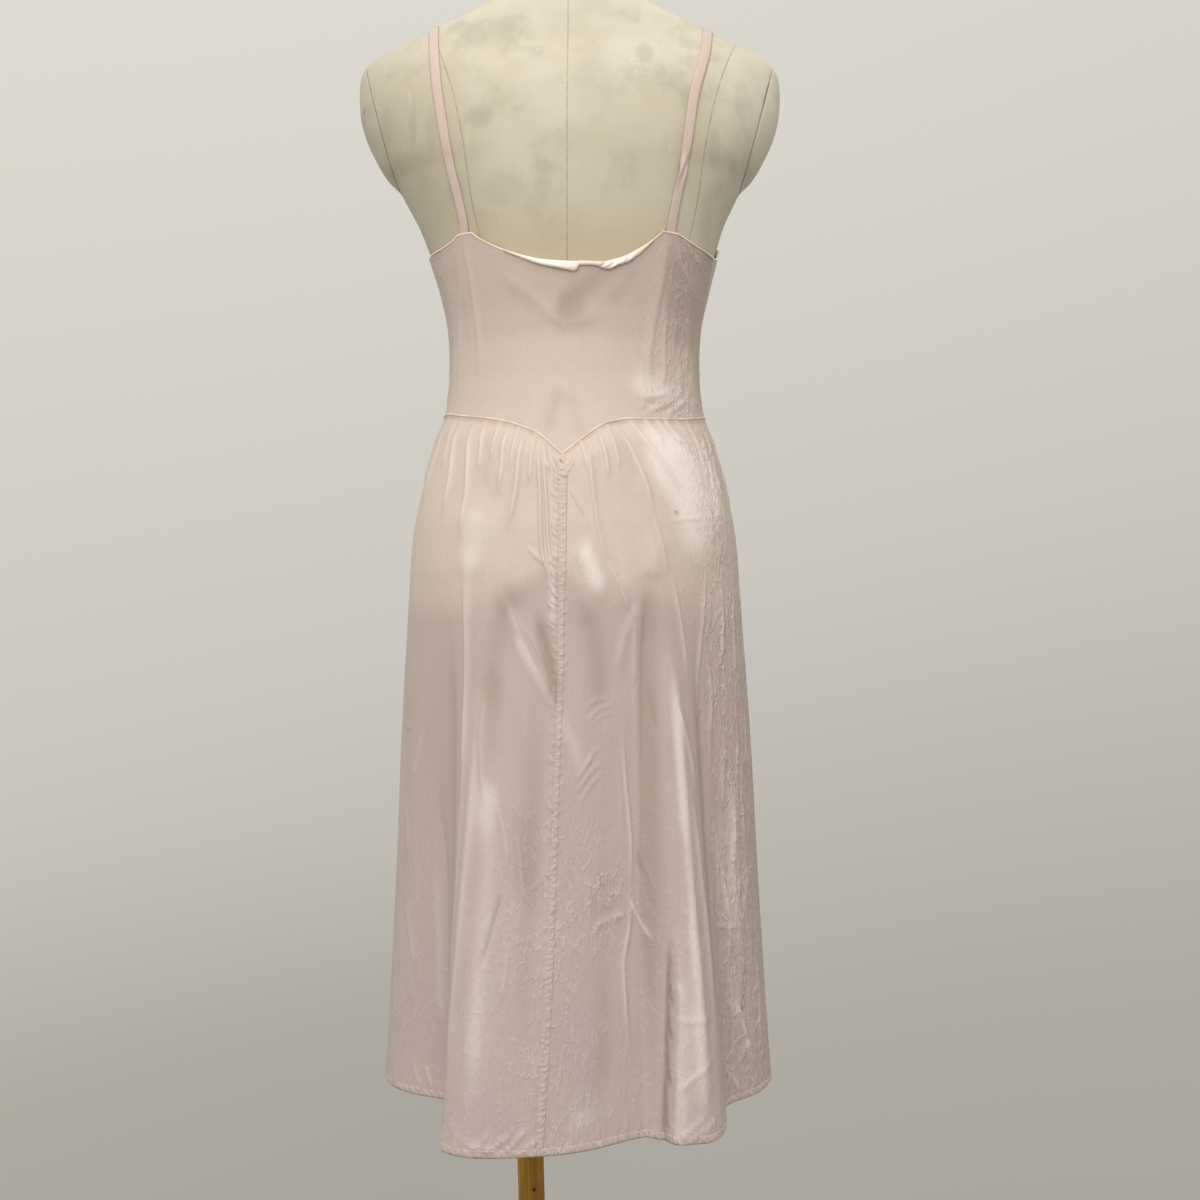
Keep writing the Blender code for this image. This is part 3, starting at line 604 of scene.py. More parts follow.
# %% Creases down the back of the skirt
LEFT_BACK_CREASES = creases_of(
    (((60, 826), (67.6, 797), (73.6, 768), (79.6, 740), (86, 706)), 2.8, 2.4, 10),
    (((74, 806), (79, 772), (83, 738), (85.6, 712)), -2.2, 6, 4),
    (((70, 792), (75.4, 775), (80, 752)), 0.8, 1.8),
    (((46, 846), (47.4, 806), (48.6, 770), (50.2, 705), (52, 650)), 2.6, 7, 2),
    (((58.6, 752), (58.3, 696), (60, 659), (63.5, 622)), 1.3, 2.2),
    (((49, 790), (50.8, 700), (51.4, 640), (51.2, 560), (50.6, 470), (49.4, 160)), 3.2, 8, 1.5),
    (((47.4, 740), (49.4, 640), (49.2, 560), (48.6, 470), (47.4, 160)), -1.8, 2, 3),
    (((23, 700), (20, 664), (15, 632)), 1.4, 3),
    (((12, 618), (14.8, 566)), 1.2, 2.6),
    (((14, 530), (16.5, 491), (19, 455)), 1.4, 2.6),
    (((29, 640), (33, 560), (34, 470)), -1.4, 7),
    (((64.6, 640), (68.4, 609), (70.6, 572)), 1.3, 2.4),
    (((69, 566), (66.6, 530), (63.4, 482)), -1.8, 1.8, 1.5),
    (((71.4, 612), (73.6, 590), (75, 560), (78, 545)), 1.2, 1.6, 4),
    (((75, 556), (79.6, 566), (82, 580)), 1.0, 1.6),
    (((9, 700), (13, 690), (18, 694)), 0.9, 1.8),
    (((7, 470), (9, 430), (12, 392)), 1.0, 2.2),
    (((50, 362), (54, 354), (58, 349)), 1.2, 1.5),
    (((57, 372), (62, 356), (66, 349)), 1.0, 1.5),
    (((71.5, 516), (70.4, 462)), 1.2, 2),
    (((81, 637), (85, 624)), 1.1, 1.6),
    (((18.6, 372), (20.4, 350)), 1.6, 2),
    (((22, 372), (24.6, 347)), 1.8, 2),
    (((63, 353), (70, 347)), 1.3, 1.8),
    (((72.5, 343), (75.5, 354), (79.4, 366)), 2.2, 1.8, 2.0),
    (((70.6, 344), (74, 352), (77.4, 360)), -1.6, 1.4),
    (((68.4, 344), (71.6, 352), (74.6, 360)), 1.9, 1.6),
    (((76.4, 342), (79, 349), (82, 355)), 1.8, 1.5),
    (((64.4, 345), (67, 352), (70.4, 363)), 1.5, 1.6),
)
RIGHT_BACK_CREASES = creases_of(
    (((91, 650), (95.6, 667), (99, 676)), 1.3, 1.8, 1.6),
    (((91, 640), (96.2, 658), (102, 671)), 1.2, 1.6, 1.8),
    (((93, 632), (97.4, 650), (103, 662)), 1.1, 1.4, 1.6),
    (((94.6, 664), (97.6, 676), (101, 682)), 0.9, 1.3),
    (((95, 716), (100.7, 725), (106.5, 724)), 1.0, 1.6, 2),
    (((95.5, 704), (101, 716), (108, 721)), 1.1, 1.6, 2),
    (((97, 700), (102, 710), (106.6, 714)), 0.8, 1.4),
    (((109.4, 716), (110, 657), (111, 626), (111.8, 590), (111.6, 545)), 2.0, 2.8, 1.7),
    (((107.6, 680), (108.6, 640), (109, 600)), 1.0, 1.8),
    (((110.4, 552), (114.7, 528), (119, 506)), 2.1, 1.8, 2.6),
    (((112.4, 560), (110.3, 520), (108, 489), (108.4, 453), (110, 400)), 2.1, 2.6, 1.8),
    (((96, 512), (100, 529), (105, 532), (111, 541)), 1.7, 1.6, 2.2),
    (((98.8, 570), (100.9, 562), (103.4, 558)), 0.9, 1.2),
    (((101.4, 573), (103.1, 566), (105.8, 562)), 0.9, 1.2),
    (((103, 557), (105.2, 551), (108.4, 549)), 1.0, 1.2, 1.3),
    (((104.6, 577), (106.3, 569), (106.2, 560)), 0.9, 1.2),
    (((99.4, 552), (101.2, 545), (104.6, 543)), 0.9, 1.2),
    (((94.6, 560), (96.4, 553), (99.2, 551)), 0.8, 1.2),
    (((105.8, 541), (107.5, 533), (110, 536)), 1.2, 1.4),
    (((115.6, 586), (118, 568), (119.6, 548)), 1.0, 1.3),
    (((114.6, 576), (117.4, 557), (119, 542)), 1.0, 1.3),
    (((116.9, 812), (113.9, 797), (109.8, 770), (107, 733)), 1.5, 7, 4),
    (((115, 800), (114.7, 768), (114.2, 728)), 0.9, 2),
    (((118.8, 740), (120.5, 710), (121.4, 688)), -1.3, 1.8),
    (((114, 598), (116.7, 564), (119, 534)), -1.6, 2.2),
    (((130, 838), (132.9, 786), (135, 735)), 1.9, 1.8, 2.6),
    (((127, 724), (130.4, 700), (133.4, 670), (135.8, 630)), 2.2, 1.8, 4),
    (((131.6, 680), (133.7, 614), (134.6, 560), (135.6, 513), (135, 446), (134, 300)), 2.6, 2, 6),
    (((122.8, 560), (122.2, 480), (121, 424), (120.2, 384), (119.6, 344), (117, 140)), 6.4, 15, 1.6),
    (((122.4, 540), (121.6, 480), (120.4, 424), (118.9, 344), (116.4, 140)), -4.4, 1.0, 3.6),
    (((124.6, 542), (127, 532), (129, 520)), 1.4, 1.8),
    (((119.6, 450), (125, 445), (135, 443)), 1.5, 1.6, 2),
    (((119, 378), (122.6, 393), (126, 401), (134.6, 413)), 2.0, 1.8, 2.8),
    (((119.6, 342), (123.6, 355), (128, 367)), 1.6, 1.8, 2.4),
    (((122, 342), (126.3, 352), (132.6, 363)), 1.4, 1.8, 2.4),
    (((121.6, 482), (123.4, 458)), 1.4, 1.8),
    (((88, 520), (92, 508), (96, 503)), 0.9, 1.8),
)
SIDE_CREASES = creases_of(
    (((147, 860), (145.4, 813), (142.8, 776), (140.6, 734), (141.4, 690)), 1.8, 2),
    (((155.6, 860), (154.5, 785), (153, 750)), 1.6, 1.8),
    (((154, 684), (152.1, 648), (152.6, 606)), 1.5, 1.8),
    (((166.5, 712), (165.8, 640)), 1.5, 2),
    (((157, 655), (156.2, 577), (156.6, 518)), 1.7, 2.2),
    (((148.6, 622), (152, 550), (154.2, 500), (152, 428)), 2.0, 2.4),
    (((145, 780), (147.6, 720), (146.6, 660)), 1.4, 2),
    (((163, 830), (161, 770), (161.5, 715)), 1.5, 2),
    (((169, 860), (171, 790), (170, 725)), 1.4, 2.2),
    (((161, 620), (163, 560), (162.4, 520)), 1.4, 2),
    (((146.4, 511), (150, 509), (154, 506), (160, 504)), 1.8, 1.6, 1.8),
    (((149, 822), (148.2, 800), (145.6, 770)), 1.2, 1.4),
    (((152, 824), (154.2, 790), (153, 745)), 1.2, 1.5),
    (((148.6, 726), (145.8, 690), (146.6, 640)), 1.4, 1.5),
    (((153, 706), (153.8, 665), (152, 618)), 1.3, 1.6),
    (((159.4, 726), (160.5, 682), (158.8, 636)), 1.3, 1.6),
    (((163, 668), (161.6, 622), (162.6, 576)), 1.3, 1.8),
    (((156.4, 630), (156.3, 577), (154, 524)), 1.4, 1.6),
    (((148, 614), (149.8, 565), (150.2, 517)), 1.3, 1.5),
    (((162.6, 570), (161.4, 527), (163.6, 480)), 1.3, 1.8),
    (((159, 545), (157, 520), (160.6, 492)), 1.2, 1.5),
    (((153.6, 450), (157.4, 426), (159.2, 408), (161, 386), (164, 360)), 2.3, 2, 2.4),
    (((146.6, 390), (151, 374), (155.4, 361), (158.4, 342)), 1.8, 2),
    (((148, 476), (151, 462), (150.4, 440)), 1.5, 1.8),
    (((166, 450), (165, 430), (167.6, 408)), 1.3, 1.8),
    (((153, 536), (163, 544)), 1.3, 1.8),
    (((151, 442), (155.9, 427), (159.6, 414)), 2.1, 2.2),
    (((160.8, 470), (160, 433), (158, 412)), -1.9, 2),
    (((162.6, 398), (159.3, 386), (156, 370)), 1.6, 1.8),
    (((168, 480), (167, 420), (169, 372)), 1.4, 2.2),
)

# %% [markdown]
# Between the drapes the cloth also has broad folds: hollows where it hangs back from the light,
# and crests where it comes forward. They move the cloth a few millimetres, and the same numbers
# tone it a little: each hollow is painted darker as painted shade, and each crest paler as a
# painted highlight.

# %% Broad folds of the back
BACK_FOLDS = creases_of(
    (((121, 856), (119.8, 800), (118.4, 740), (117.6, 640), (116.6, 500), (116, 300)), -4.8, 13, 7),
    (((72, 828), (64, 800), (60, 750), (58, 700)), -2.2, 14, 16),
    (((89, 812), (98, 786), (102, 740), (101, 690)), -2.8, 14),
    (((38, 820), (42, 700), (44, 540), (44, 330)), -2.2, 8, 14),
    (((76, 800), (78, 640), (77, 520), (76, 330)), -1.8, 10),
    (((104, 640), (102, 520), (101, 420), (100, 330)), -1.6, 12),
    (((140, 800), (141, 680), (142, 540), (144, 330)), -3.0, 6, 9),
    (((62, 730), (63, 600), (63, 470), (64, 300)), 2.6, 14, 12),
    (((127, 790), (128, 680), (128, 520), (127, 300)), 3.4, 8),
    (((93, 868), (98, 842), (103, 808)), 3.0, 11, 12),
    (((52, 910), (50, 868), (49, 826)), 2.4, 18),
    (((134, 965), (142, 930), (146, 875)), 2.6, 15),
    (((124, 880), (122, 850), (121, 828)), 1.8, 14),
    (((157, 680), (157, 560), (158, 430)), 1.8, 9),
    (((14, 760), (12, 620), (12, 470)), -1.6, 10),
    (((27, 600), (28, 480), (28, 380)), 1.5, 9),
    (((84, 706), (90, 690), (96, 640)), 1.6, 12),
    (((112, 985), (116, 950), (119, 910)), -1.5, 8),
    (((47, 985), (51, 940), (52, 900)), -1.4, 8),
)

# %% [markdown]
# Satin also shines or dulls in patches that no fold explains. These are painted highlights and
# painted shade: they have the same form as a crease, but the rise is only a tone from -1 to 1.

# %% Painted highlights and shade of the back
PAINTED_SHINE_AND_SHADE = creases_of(
    (((92, 896), (97.6, 850), (104, 790)), 0.08, 26, 14),
    (((126, 985), (135, 940), (141, 890), (142, 830)), 1.0, 26),
    (((108, 892), (110, 850), (112, 804)), 0.35, 12),
    (((152, 985), (156, 930), (158, 870)), 0.6, 16),
    (((124, 990), (128, 950), (132, 900)), 0.35, 16),
    (((20, 985), (24, 940), (28, 880)), 0.3, 22),
    (((22, 900), (19, 850), (20, 790)), 0.3, 16),
    (((48, 868), (49, 800), (51, 740)), 0.35, 10, 8),
    (((64, 800), (72, 768), (79, 738), (84, 712)), 0.6, 6, 9),
    (((56, 900), (62, 860), (66, 826)), 0.3, 14),
    (((59, 796), (64, 812), (72, 822), (82, 826)), -0.4, 15, 12),
    (((75, 816), (79.4, 778), (83.2, 740), (84.6, 710)), -0.95, 9, 8),
    (((79, 884), (82, 830), (84, 760)), 0.5, 6),
    (((71, 640), (73, 590), (76, 545)), -0.4, 13),
    (((66, 760), (74, 640), (77, 520)), -0.25, 12),
    (((60.6, 762), (62, 705), (63.4, 640)), -0.6, 12),
    (((63, 640), (61.6, 566), (61, 480), (60, 330)), -0.38, 11, 10),
    (((56, 800), (56.6, 640), (55.6, 487), (54.6, 220)), 0.45, 9, 4),
    (((127, 620), (126, 568), (125, 515)), -0.25, 10),
    (((123, 500), (121.6, 424), (120.2, 344), (118, 200)), 0.4, 11, 2),
    (((150, 640), (151, 560), (152, 480)), 0.35, 14),
    (((86, 366), (96, 369), (108, 374)), 0.4, 16, 14),
    (((60, 430), (58, 390), (60, 350)), -0.25, 18),
    (((100, 640), (98, 560), (99, 470)), 0.25, 14),
    (((126, 470), (127, 420), (126, 350)), 0.25, 9),
    (((152, 480), (156, 440), (158, 390)), 0.4, 12),
    (((12, 720), (14, 600), (14, 470)), 0.15, 18),
)

# %% [markdown]
# The front, which turns away in most views, is gathered in the same uneven way, and its creases
# are listed one by one too: long ones that follow the drapes down, and a few short slanting ones.

# %% Gathers and creases of the front
FRONT_CREASES = creases_of(
    (((180, 996), (182, 940), (181, 892)), 1.9, 2.4),
    (((187, 998), (189, 955), (188, 920)), 1.5, 2.4),
    (((194, 1000), (193, 930), (196, 860)), 2.4, 2.8),
    (((202, 1002), (203, 950), (205, 915)), 1.7, 2.4),
    (((209, 1003), (208, 915), (213, 840)), 2.7, 3),
    (((217, 1004), (219, 960), (220, 930)), 1.6, 2.4),
    (((224, 1005), (226, 925), (224, 868)), 2.3, 3),
    (((232, 1006), (231, 955), (233, 905)), 1.9, 2.4),
    (((240, 1007), (242, 900), (238, 800)), 3.0, 3.4),
    (((248, 1008), (247, 960), (249, 928)), 1.6, 2.4),
    (((255, 1008), (257, 930), (255, 880)), 2.3, 2.8),
    (((263, 1008), (262, 955), (264, 915)), 1.8, 2.4),
    (((271, 1008), (273, 900), (270, 815)), 2.9, 3.2),
    (((279, 1008), (278, 960), (280, 935)), 1.5, 2.4),
    (((286, 1007), (288, 925), (290, 862)), 2.4, 2.8),
    (((294, 1007), (293, 955), (295, 920)), 1.8, 2.4),
    (((301, 1006), (303, 915), (300, 838)), 2.7, 3),
    (((309, 1005), (308, 960), (310, 925)), 1.7, 2.4),
    (((316, 1004), (318, 930), (321, 875)), 2.3, 2.8),
    (((324, 1003), (323, 955), (325, 915)), 1.8, 2.4),
    (((332, 1002), (334, 925), (332, 862)), 2.5, 2.8),
    (((340, 1000), (339, 950), (341, 905)), 1.8, 2.4),
    (((348, 998), (349, 940), (348, 885)), 2.1, 2.4),
    (((215, 760), (221, 650), (224, 520), (222, 350)), 2.4, 6, 3),
    (((246, 790), (244, 700), (246, 610), (243, 520)), -2.4, 4, 5),
    (((262, 740), (264, 600), (261, 470), (263, 350)), 2.2, 3, 6),
    (((276, 720), (279, 640), (277, 560)), 1.6, 2.6),
    (((288, 650), (286, 540), (289, 430)), -2.2, 4),
    (((304, 750), (307, 620), (306, 480), (309, 350)), 2.4, 5, 3),
    (((318, 640), (322, 560), (320, 480)), 1.6, 2.6),
    (((334, 760), (338, 660), (336, 560)), 1.8, 3),
    (((345, 600), (347, 500), (344, 400)), 1.7, 2.8),
    (((196, 700), (200, 600), (199, 500)), 1.7, 2.8),
    (((184, 820), (187, 720), (185, 640)), 1.5, 2.6),
    (((190, 480), (193, 410), (191, 350)), 1.6, 2.6),
    (((232, 470), (240, 452), (250, 446)), 1.6, 2, 2.8),
    (((268, 420), (276, 438), (284, 444)), 1.4, 2, 2.8),
    (((224, 590), (231, 575), (237, 570)), 1.2, 2, 2.4),
    (((296, 560), (303, 578), (309, 584)), 1.3, 2, 2.4),
    (((252, 385), (258, 372), (266, 366)), 1.3, 2, 2.4),
    (((326, 400), (333, 384), (340, 380)), 1.3, 2, 2.4),
)
FRONT_FOLDS = creases_of(
    (((204, 800), (203, 660), (204, 500), (203, 330)), -4.0, 9),
    (((214, 780), (222, 640), (222, 480), (221, 320)), 3.0, 9),
    (((240, 810), (244, 690), (243, 520), (242, 330)), -5.0, 9, 8),
    (((258, 780), (263, 640), (264, 480), (265, 320)), 2.8, 11),
    (((288, 820), (286, 690), (288, 520), (287, 330)), -4.4, 8, 10),
    (((300, 780), (306, 640), (307, 480), (309, 320)), 3.0, 9),
    (((326, 800), (327, 660), (328, 500), (329, 330)), -4.6, 9),
    (((342, 700), (343, 560), (343, 430)), 2.0, 9),
    (((186, 720), (187, 560), (187, 430)), 2.0, 9),
    (((250, 930), (254, 890), (252, 850)), 2.0, 15),
    (((290, 930), (287, 890), (289, 850)), 2.0, 15),
)
by_hand = BACK_GATHERS + LEFT_BACK_CREASES + RIGHT_BACK_CREASES + SIDE_CREASES + FRONT_CREASES
by_hand += BACK_FOLDS + FRONT_FOLDS
print("creases placed by hand on the skirt:", len(by_hand))

# %% [markdown]
# The skirt's surface is worked out in one function: girth, drapes, the form that holds it out,
# and the creases on top. A place never comes closer to the axis than the form's canvas, and a
# soft corner keeps the change from hanging to resting smooth.

# %% The skirt's surface
def ease_at(angle):
    """Middle of the cloth above the form, which grows a little over the front."""
    return EASE + FRONT_EASE * ease_in(-np.sin(np.radians(angle)) * 2)


def bodice_radius(angle, height):
    return form_radius(angle, height) + ease_at(angle)


def form_limit(angle, height):
    """The closest that the skirt comes to the axis: on the form, or free below it."""
    free = ease_in((FORM_SECTIONS[0].height + 10 - height) / 90)
    return (form_radius(angle, height) + EASE) * (1 - 0.5 * free)


def skirt_radius(angle, height):
    """The smooth skirt, with its drapes and without its creases."""
    radius = oval_radius(SKIRT_SECTIONS, angle, height, SKIRT_ROUNDNESS)
    for drape in DRAPES:
        share = np.clip((drape.start - height) / (drape.start - HEM_HEIGHT), 0, 1)
        centre = drape.start_angle + (drape.hem_angle - drape.start_angle) * share
        radius = radius + drape.rise * share * wave(angle, centre, drape.before, drape.after)
    limit = form_limit(angle, height)
    over = radius - limit
    radius = limit + 0.5 * (over + np.sqrt(over * over + SOFTEN * SOFTEN))
    at_seam = bodice_radius(angle, height)
    return at_seam + (radius - at_seam) * ease_in((waist_height(angle) - height) / GATHER_ZONE)


CANVAS_CLEAR = 1.2


def moved_skirt(moved, angle, height):
    """The skirt with its broad folds, moved by its creases and kept clear of the form."""
    below = waist_height(angle) - height
    radius = skirt_radius(angle, height) + creased(BACK_FOLDS + FRONT_FOLDS, angle, height)
    radius = radius + moved * ease_in((below + 1) / 6)
    on_form = ease_in((height - FORM_SECTIONS[0].height + 20) / 20)
    return np.maximum(radius, (form_radius(angle, height) + CANVAS_CLEAR) * on_form)


def creased_skirt(creases, angle, height):
    return moved_skirt(creased(creases, angle, height), angle, height)


# %% [markdown]
# The centre back seam drifts towards the wearer's left on its way down. Its tight thread draws
# the cloth into small slanting puckers, close together over the hips and sparser below. A loop
# makes them from a seeded generator, so each differs and every run gives the same ones.

# %% Puckers beside the centre back seam
CENTRE_BACK_TOP = 85.2
CENTRE_BACK_HEM = 81.2
CENTRE_BACK_STRAIGHT = 750.0


def centre_back(height):
    way = (CENTRE_BACK_STRAIGHT - height) / (CENTRE_BACK_STRAIGHT - HEM_HEIGHT)
    return CENTRE_BACK_TOP + (CENTRE_BACK_HEM - CENTRE_BACK_TOP) * np.clip(way, 0, 1)


def seam_puckers(side, top, foot, spacing, rise, length, seed):
    """Short slanting creases that run away from the seam, on side -1 or 1 of it."""
    random = np.random.default_rng(seed)
    puckers = []
    height = top
    while height > foot:
        seam = float(centre_back(height))
        reach = length * random.uniform(0.6, 1.25)
        slant = random.uniform(0.5, 1.1)
        near = (seam + side * 0.3, height - 1)
        far = (seam + side * reach, height + slant * reach * 2)
        wide = random.uniform(1.1, 1.6)
        puckers.append(Crease((far, near), rise * random.uniform(0.6, 1.3), wide, wide))
        height -= spacing * random.uniform(0.75, 1.3)
    return tuple(puckers)


LEFT_PUCKERS = (
    seam_puckers(-1, 922, 850, 6, 1.3, 3.4, 3)
    + seam_puckers(-1, 850, 776, 6, 2.0, 4.4, 2)
    + seam_puckers(-1, 776, 640, 8, 0.9, 2.6, 4)
    + seam_puckers(-1, 640, 346, 5, 0.8, 2.0, 5)
)
RIGHT_PUCKERS = (
    seam_puckers(1, 910, 800, 10, 0.5, 3.4, 6)
    + seam_puckers(1, 800, 640, 8, 0.7, 3.4, 9)
    + seam_puckers(1, 640, 540, 5.5, 0.9, 3.2, 7)
    + seam_puckers(1, 540, 346, 6, 0.7, 2.6, 8)
)


def hem_puckers(first, last, seed):
    """Short puckers that the hem's stitches draw up, from one angle to another."""
    random = np.random.default_rng(seed)
    foot = HEM_HEIGHT + HEM_TURNING - 3
    puckers = []
    angle = first
    while angle < last:
        lean = random.uniform(-1.4, 2.4)
        path = ((angle, foot), (angle + lean, foot + random.uniform(10, 20)))
        puckers.append(Crease(path, random.uniform(0.5, 1.2), 1.5, 1.5))
        angle += random.uniform(3, 9)
    return tuple(puckers)


LEFT_HEM_PUCKERS = hem_puckers(-2, 80, 41)
RIGHT_HEM_PUCKERS = hem_puckers(84, 174, 42)
FRONT_HEM_PUCKERS = hem_puckers(180, 352, 43)
POINT_PUCKERS = creases_of(
    (((80.2, 946), (82.2, 935), (83.2, 928), (84.8, 918)), 2.0, 1.4, 1.8),
    (((80.8, 943), (82.8, 938), (84.6, 931)), -1.6, 1.3),
    (((83.4, 945), (85.4, 940), (88, 932)), 2.1, 1.4, 1.6),
    (((83.6, 941), (85.6, 937.6), (87.6, 934)), -1.9, 1.3),
    (((91.8, 943), (89.2, 933), (87.2, 927)), 2.1, 1.5),
    (((87.4, 931), (89.2, 936), (91, 943)), -1.8, 1.3),
    (((84.2, 930), (86, 929.4), (88, 930.4)), -1.7, 1.3),
    (((84.6, 927), (86.7, 925.4), (88.8, 925)), 1.7, 1.4),
    (((81.6, 932), (83.2, 927), (85.2, 922)), -1.5, 1.3),
    (((93.4, 951), (91, 943), (90, 934)), 1.5, 1.4),
    (((84.6, 946), (86.4, 943), (87.4, 944)), 1.4, 1.2),
)
print("puckers beside the seam:", len(LEFT_PUCKERS), "and", len(RIGHT_PUCKERS))

# %% [markdown]
# Silk satin shows its surface mostly in its light: a soft sheen that runs along each fold. Here
# that sheen is painted into the colour: crests are painted paler as highlights, and hollows and
# troughs darker as painted shade. The silk is so thin that the pale form shows through where the
# cloth lies on it, and that show-through is painted paler too. It looks pinker where it is
# doubled at a seam or hangs free. Each panel carries these as attributes, worked out when it is
# made, and the material only mixes them. A fine weave and small crinkles are bump, and the
# crinkles also get painted highlights and shade.

# %% Silk material
def finished(name, build, roughness, extra=None):
    """A material whose base colour, roughness and height come from build(recipe)."""
    material = bpy.data.materials.new(name)
    material.use_nodes = True
    recipe = Recipe(material.node_tree)
    shader = material.node_tree.nodes["Principled BSDF"]
    shader.inputs["Roughness"].default_value = roughness
    for socket, value in (extra or {}).items():
        shader.inputs[socket].default_value = value
    colour, rough, height, strength = build(recipe)
    links = material.node_tree.links
    links.new(colour.socket, shader.inputs["Base Color"])
    links.new(rough.socket, shader.inputs["Roughness"])
    sockets = {"Height": height, "Strength": strength, "Distance": MM}
    bump = recipe.add("ShaderNodeBump", {}, sockets)
    links.new(bump.socket, shader.inputs["Normal"])
    return material


def weave(recipe, place, pitch):
    """Threads over and under, as a height from 0 to 1."""
    sockets = {"Vector": place, "Scale": 1 / pitch, "Distortion": 0.0}
    along = recipe.add("ShaderNodeTexWave", {"bands_direction": "X"}, sockets, output=1)
    across = recipe.add("ShaderNodeTexWave", {"bands_direction": "Z"}, sockets, output=1)
    return along * 0.5 + across * 0.5


FREE_SILK = (0.535, 0.43, 0.394, 1)
CLOSE_SILK = (0.72, 0.615, 0.54, 1)
LOW_SHADE_SILK = (0.52, 0.425, 0.412, 1)
# Crest and shine colours are painted highlights; hollow and crevice colours are painted shade.
CREST_HIGHLIGHT_SILK = (0.80, 0.71, 0.675, 1)
SHINE_HIGHLIGHT_SILK = (1.0, 0.905, 0.855, 1)
HOLLOW_SHADE_SILK = (0.345, 0.256, 0.218, 1)
CREVICE_SHADE_SILK = (0.19, 0.135, 0.115, 1)
SEAM_SILK = (0.665, 0.515, 0.462, 1)
STAIN = (0.36, 0.22, 0.13, 1)
SILK_PITCH = 0.0016


def silk_recipe(recipe):
    place = recipe.place()
    cloudy = recipe.noise(place, 9.0, 3.0)
    up = recipe.parts(place)[2]
    # Below 0.66 m the free silk turns a little greyer and darker, as painted shade towards the hem.
    free = recipe.blend((0.66 - up).between(0.0, 0.2), FREE_SILK, LOW_SHADE_SILK)
    colour = recipe.blend(recipe.attribute("closeness"), free, CLOSE_SILK)
    lighter = recipe.blend(0.35, colour, CLOSE_SILK)
    colour = recipe.blend(cloudy.between(0.35, 0.7) * 0.35, colour, lighter)
    colour = recipe.blend(recipe.attribute("seam"), colour, SEAM_SILK)
    # The fold mark paints crests paler and shinier as highlights and hollows darker as shade.
    fold = recipe.attribute("fold")
    colour = recipe.blend(fold.between(0.0, 1.0) * 0.45, colour, CREST_HIGHLIGHT_SILK)
    colour = recipe.blend(fold.between(0.2, 1.0) * 0.5, colour, SHINE_HIGHLIGHT_SILK)
    colour = recipe.blend((-fold).between(0.0, 1.0) * 0.5, colour, HOLLOW_SHADE_SILK)
    # The ridge mark paints each crease the same way, with deeper painted shade in its deepest troughs.
    ridge = recipe.attribute("ridge")
    colour = recipe.blend(ridge.between(0.08, 1.0) * 0.55, colour, CREST_HIGHLIGHT_SILK)
    colour = recipe.blend((-ridge).between(0.05, 1.0) * 0.55, colour, HOLLOW_SHADE_SILK)
    colour = recipe.blend((-ridge).between(0.65, 1.25) * 0.55, colour, CREVICE_SHADE_SILK)
    slub = recipe.noise(recipe.stretched(place, (1, 1, 0.06)), 420.0, 2.0)
    darker = recipe.add("ShaderNodeHueSaturation", {}, {"Value": 0.93, "Color": colour})
    colour = recipe.blend(slub.between(0.56, 0.72) * 0.35, colour, darker)
    colour = recipe.blend(recipe.attribute("stain"), colour, STAIN)
    crinkled = recipe.attribute("crinkle")
    patchy = recipe.noise(recipe.stretched(place, (1, 1, 0.4)), 68.0, 3.0, 0.55)
    crease = 1.0 - abs(patchy - 0.5).between(0.0, 0.035)
    # Crinkle lines are painted paler as highlights, and the fine crinkle noise darker as shade.
    colour = recipe.blend(crease * crinkled * 0.4, colour, CREST_HIGHLIGHT_SILK)
    tiny = recipe.noise(recipe.stretched(place, (1, 1, 0.6)), 300.0, 3.0, 0.6)
    colour = recipe.blend(tiny.between(0.4, 0.7) * (crinkled * 0.3 + 0.05), colour, HOLLOW_SHADE_SILK)
    rough = 0.36 + cloudy * 0.12
    streaks = recipe.noise(recipe.stretched(place, (1, 1, 0.16)), 150.0, 3.0)
    fine = recipe.noise(recipe.stretched(place, (1, 1, 0.5)), 60.0, 4.0)
    height = streaks * (crinkled * 4.6 + 0.12) + fine * 0.4 + crease * crinkled * 1.7
    height = height + tiny * (crinkled * 0.6 + 0.2)
    height = height + weave(recipe, place, SILK_PITCH) * 0.012
    return colour, rough, height, 0.55


SOFT_SHINE = {"Specular IOR Level": 0.24}
silk = finished("blush silk", silk_recipe, 0.4, SOFT_SHINE)
print("material:", silk.name)

# %% [markdown]
# Every panel is made in the same way: a grid of places, rows from the top edge to the foot and
# columns from seam to seam, moved to its surface. Solidify then gives it a thin wall. The
# faces are ordered so that they look outwards before the wall is made.

# %% A panel from a grid of places
SILK_WALL = 0.5 * MM
MARKS_ON_CLOTH = ("closeness", "fold", "ridge", "seam", "stain", "crinkle")


def grid_faces(rows, columns, closed=False):
    faces = []
    for row in range(rows - 1):
        for place in range(columns if closed else columns - 1):
            here = row * columns + place
            beside = row * columns + (place + 1) % columns
            faces.append((here, here + columns, beside + columns, beside))
    return faces


def new_piece(name, mesh, material):
    piece = bpy.data.objects.new(name, mesh)
    bpy.context.scene.collection.objects.link(piece)
    mesh.materials.append(material)
    return piece


def keep_mark(mesh, name, values):
    """Keep one number for every point of a mesh, for its material to read."""
    layer = mesh.attributes.new(name, "FLOAT", "POINT")
    layer.data.foreach_set("value", values.astype(np.float32).ravel())


def make_plain(piece):
    """Apply a piece's modifiers by making its mesh again from the evaluated one."""
    bpy.context.view_layer.update()
    evaluated = piece.evaluated_get(bpy.context.evaluated_depsgraph_get())
    mesh = bpy.data.meshes.new_from_object(evaluated)
    piece.modifiers.clear()
    piece.data = mesh
    mesh.name = piece.name
    mesh.shade_smooth()


def give_wall(piece, wall):
    """Thicken the cloth on both sides of its middle."""
    solidify = piece.modifiers.new("wall", "SOLIDIFY")
    solidify.thickness = wall
    solidify.offset = 0.0
    make_plain(piece)


